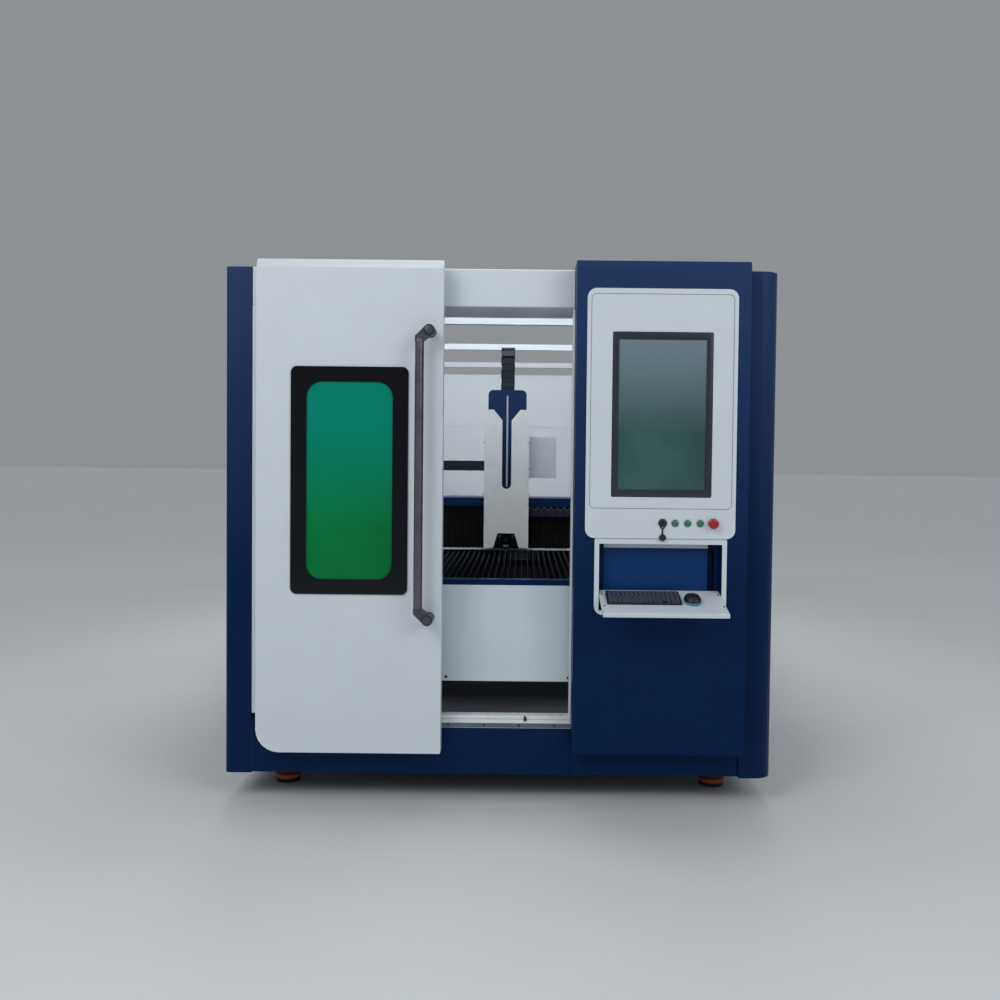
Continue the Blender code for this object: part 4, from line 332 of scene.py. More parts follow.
# Rubber: matt, with a grainy bloom.
RUBBER = Finish("rubber_black", "1B1B1D", 0.7, Surface.MOULDED, (1.2, 1.2, 1.2), 0.06, tone=0.1)
# Aluminium sheet: rolling lines under a thin grey lacquer.
GREY_SHEET = Finish("aluminium_sheet_grey", "D6DFE9", 0.42, Surface.BRUSHED, (1, 1, 60), 0.01, 0.3)
# Gloss white enamel on the head's cover: a little brighter than the walls, with a sharper shine. On the sill the same
# brighter white is painted light, standing in for the light that the low sill misses.
WHITE_ENAMEL_AND_PAINTED_LIGHT = Finish("enamel_white_gloss_and_painted_light", "E3E9EC", 0.3, Surface.SPRAYED, (5, 5, 5), 0.03, tone=0.03, coat=0.1)
# Silicone: a matt mid grey, in beads smoothed by a finger and on the binding of the cover's strip.
GREY_SEALANT = Finish("sealant_grey", "70767D", 0.7, Surface.MOULDED, (2, 2, 2), 0.05, tone=0.08)
# The sheet in the keyboard's recess: a lighter copy of the navy powder coat, painted light so that the shaded recess
# stays blue.
RECESS_PAINTED_LIGHT_COAT = Finish("powder_coat_navy_painted_light", "0A3870", 0.4, Surface.SPRAYED, (5, 5, 5), 0.04, tone=0.05,
                     specular=0.15)
# Sintered ceramic: dense and creamy, lightly polished.
CERAMIC = Finish("ceramic_ring", "E4E3DF", 0.35, Surface.POLISHED, (10, 10, 10), 0.03)


class Shape:
    """A mesh that is put together from outlines, turnings and blocks."""

    def __init__(self, name: str) -> None:
        """Start an empty shape with that name."""
        self.name = name
        self.mesh = bmesh.new()

    def prism(self, outline: list[Point2], axis: Axis, low: float, high: float) -> None:
        """Draw a closed outline out along an axis.

        Args:
            outline: points in the plane across the axis, in the order of that plane's axes.
            axis: the direction of the drawing out.
            low: where it starts.
            high: where it ends.
        """
        first, second, third = axis.value
        ends = []
        for level in (low, high):
            ring = []
            for a, b in outline:
                point = [0.0, 0.0, 0.0]
                point[first], point[second], point[third] = a, b, level
                ring.append(self.mesh.verts.new(point))
            ends.append(ring)
        self.skin(ends)

    def skin(self, rings: list[list[bmesh.types.BMVert]], closed: bool = False) -> None:
        """Join rings of vertices side by side, and cap the ends of an open run.

        Args:
            rings: rings of the same number of vertices.
            closed: whether the last ring meets the first.
        """
        made = []
        count = len(rings[0])
        pairs = list(zip(rings, rings[1:] + ([rings[0]] if closed else [])))
        for one, two in pairs[: len(rings) if closed else len(rings) - 1]:
            for n in range(count):
                after = (n + 1) % count
                made.append(self.mesh.faces.new((one[n], one[after], two[after], two[n])))
        if not closed:
            made.append(self.mesh.faces.new(rings[0][::-1]))
            made.append(self.mesh.faces.new(rings[-1]))
        bmesh.ops.recalc_face_normals(self.mesh, faces=made)

    def block(self, low: Sequence[float], high: Sequence[float], edge: float = 0.0, segments: int = 2) -> None:
        """Add a box between two corners, with eased edges.

        Args:
            low: the lowest corner.
            high: the highest corner.
            edge: the bevel's width.
            segments: the bevel's steps.
        """
        size = Matrix.Diagonal((high[0] - low[0], high[1] - low[1], high[2] - low[2], 1.0))
        middle = Matrix.Translation((Vector(low) + Vector(high)) / 2)
        if edge <= 0:
            bmesh.ops.create_cube(self.mesh, size=1.0, matrix=middle @ size)
            return
        box = bmesh.new()
        bmesh.ops.create_cube(box, size=1.0, matrix=middle @ size)
        bmesh.ops.bevel(box, geom=box.edges[:], offset=edge, segments=segments, affect="EDGES", profile=0.5)
        # The bevel orders its corners and faces anew in each run, so both are sorted.
        corners = sorted(box.verts, key=lambda v: [round(c, 5) for c in v.co])
        number = {v: n for n, v in enumerate(corners)}
        loops = []
        for face in box.faces:
            loop = [number[v] for v in face.verts]
            start = loop.index(min(loop))
            loops.append(loop[start:] + loop[:start])
        copies = [self.mesh.verts.new(v.co) for v in corners]
        for loop in sorted(loops):
            self.mesh.faces.new([copies[n] for n in loop])
        box.free()

    def turn(self, profile: list[Point2], matrix: Matrix, steps: int = 32) -> None:
        """Turn a profile round the Z axis of a matrix.

        Args:
            profile: points of radius and height, from one end to the other.
            matrix: where the axis stands.
            steps: points round the ring.
        """
        rings = []
        for radius, height in profile:
            ring = []
            for n in range(steps):
                angle = 2 * math.pi * n / steps
                across = max(radius, 0.00002)
                ring.append(self.mesh.verts.new(
                    matrix @ Vector((across * math.cos(angle), across * math.sin(angle), height))))
            rings.append(ring)
        self.skin(rings)

    def disc(
        self,
        radius: float,
        low: float,
        high: float,
        place: Matrix,
        steps: int = 24,
        ease: float = 0.0,
    ) -> None:
        """Turn a plain round bar, with eased rims where asked.

        Args:
            radius: the bar's radius.
            low: where it starts along its axis.
            high: where it ends.
            place: where the axis stands.
            steps: points round the bar.
            ease: how far its two rims are cut back.
        """
        rims = [(radius - ease, low), (radius, low + ease), (radius, high - ease), (radius - ease, high)]
        self.turn([(0, low), *(rims if ease else [(radius, low), (radius, high)]), (0, high)], place, steps)

    def collar(self, section: list[Point2], matrix: Matrix, steps: int = 40) -> None:
        """Turn a closed section round the Z axis of a matrix, leaving a hole in its middle.

        Args:
            section: points of radius and height, round the section.
            matrix: where the axis stands.
            steps: points round the collar.
        """
        rings = []
        for n in range(steps):
            angle = 2 * math.pi * n / steps
            rings.append([self.mesh.verts.new(matrix @ Vector((r * math.cos(angle), r * math.sin(angle), h)))
                          for r, h in section])
        self.skin(rings, closed=True)

    def surround(self, outer: tuple[Vector, Vector], inner: tuple[Vector, Vector], section: list[tuple]) -> None:
        """Run a section round an opening with round corners, in an upright plane.

        Args:
            outer: the outside's lowest and highest corners.
            inner: the opening's lowest and highest corners.
            section: share of the way in, corner radius and depth of each point of the section.
        """
        rings = []
        for share, radius, y in section:
            low, high = outer[0].lerp(inner[0], share), outer[1].lerp(inner[1], share)
            rings.append([self.mesh.verts.new((x, y, z))
                          for x, z in rounded((low[0], low[2]), (high[0], high[2]), radius)])
        self.skin(rings, closed=True)

    def place_since(self, first: int, matrix: Matrix) -> None:
        """Move what was added since that vertex by a matrix."""
        self.mesh.verts.ensure_lookup_table()
        bmesh.ops.transform(self.mesh, matrix=matrix, verts=self.mesh.verts[first:])

    def finish(self, finish: Finish, edge: float = 0.0, smooth: float = 35.0) -> bpy.types.Object:
        """Turn the shape into an object with one finish.

        Args:
            finish: the finish of the whole piece.
            edge: the width of a bevel over its sharp edges.
            smooth: the angle in degrees up to which it is shaded smooth.

        Returns:
            The object, linked to the scene.
        """
        data = bpy.data.meshes.new(self.name)
        self.mesh.to_mesh(data)
        self.mesh.free()
        data.materials.append(finish.material())
        made = bpy.data.objects.new(self.name, data)
        bpy.context.scene.collection.objects.link(made)
        soften(made, edge, smooth)
        return made


def soften(piece: bpy.types.Object, edge: float, smooth: float = 35.0) -> None:
    """Shade a piece smooth by angle, and ease its edges with a bevel that keeps flats flat.

    Args:
        piece: a mesh object, of the scene or of the frame.
        edge: the bevel's width, or 0 for none.
        smooth: the angle in degrees.
    """
    if edge > 0:
        bevel = piece.modifiers.new("eased edges", "BEVEL")
        bevel.width = edge
        bevel.segments = 2
        bevel.limit_method = "ANGLE"
        bevel.angle_limit = math.radians(40)
        bevel.harden_normals = True
        bevel.use_clamp_overlap = True
    if not piece.name.startswith("cad") and piece.get("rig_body") is None:
        piece.data.shade_smooth()
        piece.data.set_sharp_from_angle(angle=math.radians(smooth))


def rounded(low: Point2, high: Point2, radius: float, steps: int = 8) -> list[Point2]:
    """Return a rectangle with round corners, anticlockwise.

    Args:
        low: the lowest corner.
        high: the highest corner.
        radius: the corners' radius.
        steps: points in each corner.

    Returns:
        The outline.
    """
    points = []
    for n, (x, y) in enumerate(((high[0] - radius, high[1] - radius), (low[0] + radius, high[1] - radius),
                                (low[0] + radius, low[1] + radius), (high[0] - radius, low[1] + radius))):
        for k in range(steps + 1):
            angle = math.pi / 2 * (n + k / steps)
            points.append((x + radius * math.cos(angle), y + radius * math.sin(angle)))
    return points


def dress(node: str, finish: Finish, edge: float | None = None) -> None:
    """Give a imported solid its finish, and ease its edges where a width is given.

    Args:
        node: the solid's name.
        finish: the finish of the whole solid.
        edge: the bevel's width.
    """
    piece = FRAME["nodes"][node]
    made = finish.material()
    for slot in piece.material_slots:
        slot.material = made
    if not piece.material_slots:
        piece.data.materials.append(made)
    if edge is not None:
        soften(piece, edge)


def settle(piece: bpy.types.Object, body: str, slot: str, *nodes: str) -> bpy.types.Object:
    """Put a piece on a body, in place of solids where there are any.

    Args:
        piece: the finished piece.
        body: the body that it rides on.
        slot: the record's material slot, not used.
        nodes: the solids that it stands for.

    Returns:
        The same piece.
    """
    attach(piece, body)
    if nodes:
        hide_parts(*nodes)
    LOG.info("%s on %s", piece.name, body)
    return piece


def plate(
    name: str,
    low: Sequence[float],
    high: Sequence[float],
    edge: float,
    finish: Finish,
    body: str,
    slot: str,
) -> None:
    """Put a plain sheet or strip on a body.

    Args:
        name: the piece's name.
        low: its lowest corner.
        high: its highest corner.
        edge: the width of the bevel on its edges.
        finish: its finish.
        body: the body that it rides on.
        slot: the record's material slot.
    """
    shape = Shape(name)
    shape.block(low, high, edge, 1)
    settle(shape.finish(finish), body, slot)


def lathe(
    name: str,
    profile: list[Point2],
    place: Matrix,
    steps: int,
    finish: Finish,
    body: str,
    slot: str,
    *nodes: str,
    hollow: bool = False,
) -> None:
    """Put a turned piece on a body, in place of solids where there are any.

    Args:
        name: the piece's name.
        profile: points of radius and height.
        place: where its axis stands.
        steps: points round it.
        finish: its finish.
        body: the body that it rides on.
        slot: the record's material slot.
        nodes: the solids that it stands for.
        hollow: whether the profile closes on itself and leaves a hole in the middle.
    """
    shape = Shape(name)
    (shape.collar if hollow else shape.turn)(profile, place, steps)
    settle(shape.finish(finish), body, slot, *nodes)


def facing_front(x: float, y: float, z: float) -> Matrix:
    """Return a matrix whose Z axis points at the front, from that place."""
    return Matrix.Translation((x, y, z)) @ Matrix.Rotation(math.pi / 2, 4, "X")


def facing_side(x: float, y: float, z: float, sign: int) -> Matrix:
    """Return a matrix whose Z axis points to the right, or to the left for a sign of -1."""
    return Matrix.Translation((x, y, z)) @ Matrix.Rotation(sign * math.pi / 2, 4, "Y")


def upright(x: float, y: float, z: float) -> Matrix:
    """Return a matrix whose Z axis points up, from that place."""
    return Matrix.Translation((x, y, z))


def extent(node: str) -> tuple[Vector, Vector, Vector]:
    """Return a solid's lowest corner, highest corner and middle."""
    low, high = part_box(node)
    return low, high, (low + high) / 2


def wrapped(points: list[Point2], middle: Point2, radius: float, steps: int = 40) -> list[Point2]:
    """Return the outline of a band that is laid round some points and a circle.

    Args:
        points: the points.
        middle: the circle's middle.
        radius: the circle's radius.
        steps: points round the circle.

    Returns:
        The outline.
    """
    every = list(points)
    for n in range(steps):
        angle = 2 * math.pi * n / steps
        every.append((middle[0] + radius * math.cos(angle), middle[1] + radius * math.sin(angle)))
    return [every[n] for n in convex_hull_2d(every)]


def flat_box(node: str, place: Matrix) -> tuple[Vector, Vector]:
    """Return a solid's lowest and highest corners in a tilted frame.

    Args:
        node: the solid's name.
        place: the tilted frame.

    Returns:
        The two corners.
    """
    back = place.inverted()
    flat = [back @ v.co for v in FRAME["nodes"][node].data.vertices]
    return Vector([min(p[i] for p in flat) for i in range(3)]), Vector([max(p[i] for p in flat) for i in range(3)])


def cap_screw(shape: Shape, place: Matrix, radius: float) -> None:
    """Add a domed screw head with a ring below it.

    Args:
        shape: the shape it is added to.
        place: a matrix with Z out of the surface.
        radius: the head's radius.
    """
    shape.turn([(0, 0), (radius * 1.25, 0), (radius * 1.25, radius * 0.2), (radius, radius * 0.25),
                (radius * 0.95, radius * 0.6), (radius * 0.7, radius * 0.85), (radius * 0.35, radius * 0.9),
                (radius * 0.3, radius * 0.5), (0, radius * 0.5)], place, 16)


@dataclass(frozen=True)
class ChainLink:
    """One link of a closed drag chain: two side plates, two lids and its pins."""

    pitch: float
    width: float
    height: float
    plate: float = 0.0045
    lap: float = 0.004
    corner: float = 0.004
    lid: float = 0.0022

    def add(self, shape: Shape, place: Matrix, inner: bool, cover: float) -> None:
        """Add the link to a chain.

        Args:
            shape: the chain.
            place: the link's frame, with X along the chain and Y across it.
            inner: whether its side plates lie inside its neighbours' plates.
            cover: the share of the pitch that its lids close.
        """
        first = len(shape.mesh.verts)
        half = self.pitch / 2 + self.lap
        tall = self.height / 2 - (0.0008 if inner else 0.0)
        side = self.width / 2 - (self.plate * 0.5 if inner else 0.0)
        for sign in (-1, 1):
            faces = sorted((sign * side, sign * (side - self.plate)))
            shape.prism(rounded((-half, -tall), (half, tall), self.corner, 3), Axis.Y, *faces)
            closed = sorted((sign * tall, sign * (tall - self.lid)))
            reach = self.pitch * cover / 2
            shape.block((-reach, -side + self.plate * 0.6, closed[0]),
                        (reach, side - self.plate * 0.6, closed[1]))
            if not inner:
                for end in (-self.pitch / 2, self.pitch / 2):
                    turned = Matrix.Rotation(-sign * math.pi / 2, 4, "X")
                    pin = Matrix.Translation((end, sign * side, 0)) @ turned
                    r = self.height * 0.2
                    shape.turn([(0, -0.0005), (r, -0.0005), (r, 0.0004), (r * 0.8, 0.0007), (0, 0.0007)], pin, 16)
        shape.place_since(first, place)


def stations(length: float, pitch: float) -> list[float]:
    """Return the middles of the links that fill a run of that length."""
    count = max(1, round(length / pitch))
    return [(n + 0.5) * length / count for n in range(count)]


@dataclass
class Housing:
    """The enclosure's walls, base, roof, sill and feet.

    Each of a foot's nuts has the height of its foot and its own height.
    """

    foot_radius: float = 0.054
    stud_radius: float = 0.0175
    nut_radius: float = 0.0295
    nuts: tuple[Point2, ...] = ((0.0425, 0.018), (0.082, 0.012))
    screw_radius: float = 0.0045
    screw_pitch: float = 0.5
    screw_start: float = -0.721
    screw_inset: float = 0.016
    bolt_pitch: float = 0.14
    bolt_start: float = -0.9
    bolt_rise: float = 0.011
    track_height: float = 0.0195
    switch_place: Point2 = (0.105, 0.341)
    panel_inset: float = 0.022
    panel_pitch: float = 0.36
    coats: dict[str, Finish] = field(default_factory=lambda: {
        "base_frame": NAVY_COAT, "left_pillar": NAVY_COAT, "right_pillar": NAVY_COAT,
        "left_side_panel": NAVY_COAT, "right_side_panel": NAVY_COAT, "header_beam": WHITE_COAT,
        "fixed_front_panel": WHITE_COAT, "roof_frame": WHITE_COAT, "rear_frame": WHITE_COAT,
        # The sill's brighter white is painted light, for the light that the low sill misses.
        "rear_panel": WHITE_COAT, "sill_rail": WHITE_ENAMEL_AND_PAINTED_LIGHT, "door_track": RAIL_STEEL,
    })
    edges: dict[str, float] = field(default_factory=lambda: {
        "left_pillar": 0.008, "header_beam": 0.0, "fixed_front_panel": 0.0, "door_track": 0.0008,
        "sill_rail": 0.0008,
    })

    def build(self) -> None:
        """Dress the walls and build the feet and the fastenings."""
        for node, coat in self.coats.items():
            dress(node, coat, self.edges.get(node, 0.002))
        self._feet()
        self._apron_screws()
        self._track_bolts()
        self._front_trims()
        self._panel_screws()

    def _feet(self) -> None:
        """Build the six levelling feet: rubber pad, orange cup, stud and nuts."""
        metal, cups, pads = Shape("foot_studs"), Shape("foot_cups"), Shape("foot_pads")
        names = [n for n in FRAME["nodes"] if n.startswith("foot_")]
        r, nut = self.foot_radius, self.nut_radius
        for name in names:
            _, high, middle = extent(name)
            place = upright(middle.x, middle.y, 0)
            pads.turn([(0, 0), (r * 0.9, 0), (r * 0.94, 0.002), (r * 0.95, 0.014), (r * 0.98, 0.016), (0, 0.016)],
                      place, 48)
            cups.turn([(0, 0.0162), (r, 0.0162), (r, 0.030), (r * 0.98, 0.033), (r * 0.6, 0.038), (r * 0.5, 0.042),
                       (0, 0.042)], place, 48)
            metal.disc(self.stud_radius, 0.040, high.z, place)
            for foot, height in self.nuts:
                metal.turn([(0, foot), (nut - 0.0015, foot), (nut, foot + 0.002), (nut, foot + height - 0.002),
                            (nut - 0.0015, foot + height), (0, foot + height)], place, 6)
        settle(pads.finish(RUBBER), "enclosure", "black_rubber")
        settle(cups.finish(ORANGE_COAT), "enclosure", "black_rubber")
        settle(metal.finish(DARK_STEEL, 0.0006), "enclosure", "dark_steel", *names)

    def _apron_screws(self) -> None:
        """Dress the bed's front and put screws along the apron's lower edge."""
        low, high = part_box("apron_panel")
        dress("apron_panel", SATIN_STEEL)
        dress("bed_frame", NAVY_COAT, 0.003)
        shape = Shape("apron_screws")
        x = self.screw_start
        while x < high[0]:
            cap_screw(shape, facing_front(x, low[1], low[2] + self.screw_inset), self.screw_radius)
            x += self.screw_pitch
        settle(shape.finish(DARK_STEEL), "enclosure", "satin_steel")

    def _track_bolts(self) -> None:
        """Face the door's lower track with its steel rail, and put the flat bolts in it."""
        low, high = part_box("sill_rail")
        plate("track_facing", (low[0] + 0.001, low[1] - 0.0006, low[2] + 0.001),
              (high[0] - 0.001, low[1] + 0.0012, low[2] + self.track_height), 0.0005, TRACK_STEEL,
              "enclosure", "satin_steel")
        shape = Shape("track_bolts")
        x = self.bolt_start
        while x < high[0] - 0.02:
            place = facing_front(x, low[1], low[2] + self.bolt_rise)
            shape.turn([(0, -0.0004), (0.0052, -0.0004), (0.0052, 0.0006), (0.0046, 0.0012), (0.002, 0.0012),
                        (0.0018, 0.0004), (0, 0.0004)], place, 16)
            x += self.bolt_pitch
        settle(shape.finish(DARK_STEEL), "enclosure", "satin_steel")

    def _panel_screws(self) -> None:
        """Put button-head screws along the upper and lower edges of the side and rear panels."""
        shape = Shape("panel_screws")
        r, inset = self.screw_radius * 1.1, self.panel_inset
        for side, sign in (("left", -1), ("right", 1)):
            low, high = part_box(side + "_side_panel")
            face = high[0] if sign > 0 else low[0]
            for y in stations(high[1] - low[1], self.panel_pitch):
                for z in (low[2] + inset, high[2] - inset):
                    cap_screw(shape, facing_side(face, low[1] + y, z, sign), r)
        low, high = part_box("rear_panel")
        to_rear = Matrix.Rotation(-math.pi / 2, 4, "X")
        for x in stations(high[0] - low[0], self.panel_pitch):
            for z in (low[2] + inset, high[2] - inset):
                cap_screw(shape, Matrix.Translation((low[0] + x, high[1], z)) @ to_rear, r)
        settle(shape.finish(CHROME), "enclosure", "satin_steel")

    def _front_trims(self) -> None:
        """Add the track's end cover, the door's limit switch, the base joint's sealant and the rear guard."""
        (sill, _), (base, base_top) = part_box("sill_rail"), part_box("base_frame")
        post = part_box("left_pillar")[1].x
        plate("track_end_cover", (post + 0.0006, base.y + 0.004, base_top.z + 0.0003),
              (sill.x - 0.0006, base.y + 0.012, base_top.z + 0.034), 0.0008, NAVY_COAT, "enclosure", "navy_paint")
        switch = Shape("door_limit_switch")
        x, z = self.switch_place
        switch.block((x - 0.006, sill.y - 0.0035, z - 0.011), (x + 0.006, sill.y + 0.001, z + 0.003), 0.0012)
        switch.disc(0.0036, -0.0024, 0.0024, facing_front(x - 0.002, sill.y - 0.002, z + 0.006), 20)
        settle(switch.finish(BLACK_ABS), "enclosure", "black_paint")
        plate("base_joint_sealant", (post - 0.0012, base.y - 0.0004, base.z + 0.001),
              (post + 0.0008, base.y + 0.001, base_top.z + 0.03), 0.0003, RUBBER, "enclosure", "black_rubber")
        bed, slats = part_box("bed_frame"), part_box("slat_table")
        plate("rear_spark_guard", (slats[0].x, bed[1].y - 0.010, bed[0].z + 0.026),
              (slats[1].x, bed[1].y - 0.008, bed[1].z - 0.06), 0.0005, DARK_STEEL, "enclosure", "dark_steel")


@dataclass
class SlidingDoor:
    """The sliding door with its window, handle and runners."""

    tube_radius: float = 0.017
    boss_inset: float = 0.015
    boss_drop: float = 0.0295
    end_radius: float = 0.0215
    post_radius: float = 0.018
    cap_radius: float = 0.0165
    mitre_rise: float = 0.0225

    def build(self) -> None:
        """Dress the door and build its handle."""
        dress("door_panel", WHITE_COAT, 0.0025)
        dress("window_frame", GLOSS_BLACK)
        dress("window_glass", GREEN_ACRYLIC)
        for side in ("left", "right"):
            dress("door_runner_" + side, RAIL_STEEL)
        low, high, middle = extent("handle_tube")
        tube = Shape("handle_grip")
        tube.disc(self.tube_radius, low.z, high.z, upright(middle.x, middle.y, 0), 48, 0.001)
        settle(tube.finish(BRONZE_TUBE), "door", "handle_bronze", "handle_tube")
        self._bracket("lower", low[2], -1)
        self._bracket("upper", high[2], 1)

    def _bracket(self, end: str, tube_end: float, sign: int) -> None:
        """Build one bracket: a post off the door, a mitred arm, a round cap and a domed plug.

        Args:
            end: upper or lower.
            tube_end: the height where the tube stops.
            sign: 1 for the upper bracket, -1 for the lower one.
        """
        node = "handle_bracket_" + end
        first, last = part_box(node)
        door_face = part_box("door_panel")[0].y
        x, y, _ = extent("handle_tube")[2]
        r, boss_x = self.tube_radius, last.x - self.boss_inset
        boss_z = last.z - self.boss_drop if sign > 0 else first.z + self.boss_drop
        front = first.y
        mitre = boss_z - sign * self.mitre_rise
        arm = Shape("handle_arm_" + end)
        arm.prism(wrapped([(x - r, mitre), (x - r, tube_end), (x + r, tube_end)], (boss_x, boss_z), self.end_radius),
                  Axis.Y, front + 0.012, y + 0.013)
        p, e, c = self.post_radius, self.end_radius - 0.001, self.cap_radius
        arm.turn([(0, 0.0004), (p + 0.003, 0.0004), (p + 0.003, 0.003), (p, 0.005), (p, door_face - y),
                  (0, door_face - y)], facing_front(boss_x, door_face, boss_z), 40)
        arm.turn([(0, 0), (e, 0), (e, 0.0065), (e - 0.0015, 0.008), (c + 0.001, 0.008), (c + 0.001, 0.0070),
                  (c, 0.0070), (c, 0.0092), (c - 0.001, 0.0098), (0, 0.0098)],
                 facing_front(boss_x, front + 0.0102, boss_z), 40)
        arm.disc(e, 0, 0.003, facing_front(boss_x, front + 0.013, boss_z), 40)
        settle(arm.finish(CAST_GREY, 0.0025), "door", "black_paint", node)
        lathe("handle_cap_seal_" + end, [(c - 0.0002, 0.0), (c + 0.0028, 0.0), (c + 0.0026, 0.0012), (c, 0.0012)],
              facing_front(boss_x, front + 0.0024, boss_z), 40, GLOSS_BLACK, "door", "black_rubber", hollow=True)
        dome = [(r * 0.98 * math.cos(a), sign * r * 0.98 * math.sin(a)) for a in [math.pi / 16 * k for k in range(9)]]
        # The upper plug's paler steel is a painted highlight added to the dome's own reflection; the lower plug keeps
        # the bracket's grey.
        lathe("handle_plug_" + end, [(0, 0), *dome], upright(x, y, tube_end), 40,
              TRACK_STEEL if sign > 0 else CAST_GREY, "door", "dark_steel")


@dataclass
class SlatBed:
    """The saw-toothed slats and the bars that carry them."""

    pitch: float = 0.028
    thickness: float = 0.004
    tooth: float = 0.0255
    tooth_depth: float = 0.017
    flat: float = 0.003
    root: float = 0.005
    rise: float = 0.025
    bar: float = 0.012

    def build(self) -> None:
        """Dress the pan and the rails, and build the slats in one mesh and their bars in another."""
        low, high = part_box("slat_table")
        dress("scrap_pan", PAN_STEEL_DUST_AND_SHADE)
        for side in ("left", "right"):
            dress("y_rail_" + side, RAIL_STEEL)
        slats = Shape("slats")
        foot = low[2] + self.rise
        half = (high[0] - low[0]) / 2
        count = int((2 * half - self.pitch) / self.pitch)
        for n in range(count + 1):
            x = (n - count / 2) * self.pitch
            slats.prism(self._outline(low[1], high[1], foot, high[2], n % 2), Axis.X,
                        x - self.thickness / 2, x + self.thickness / 2)
        settle(slats.finish(SLAT_STEEL, smooth=20), "enclosure", "slat_steel", "slat_table")
        bars = Shape("slat_bars")
        for y in (low[1], (low[1] + high[1]) / 2, high[1] - self.bar):
            bars.block((low[0], y, low[2]), (high[0], y + self.bar, low[2] + 0.04), 0.001, 1)
        settle(bars.finish(DARK_STEEL), "enclosure", "slat_steel")

    def _outline(self, front: float, rear: float, foot: float, top: float, shift: int) -> list[Point2]:
        """Return one slat's outline, with flat-topped teeth.

        Args:
            front: its front end.
            rear: its rear end.
            foot: its underside.
            top: the teeth's tips.
            shift: 1 where the teeth start half a tooth later.

        Returns:
            The outline as depth and height.
        """
        count = int((rear - front) / self.tooth)
        pitch = (rear - front) / count
        points = [(front, foot), (rear, foot), (rear, top - self.tooth_depth)]
        for n in range(count - 1, -1, -1):
            middle = front + (n + 0.5) * pitch
            points += [(middle + pitch / 2 - self.root / 2, top - self.tooth_depth),
                       (middle + self.flat / 2, top), (middle - self.flat / 2, top),
                       (middle - pitch / 2 + self.root / 2, top - self.tooth_depth)]
        points.append((front, top - self.tooth_depth))
        return points


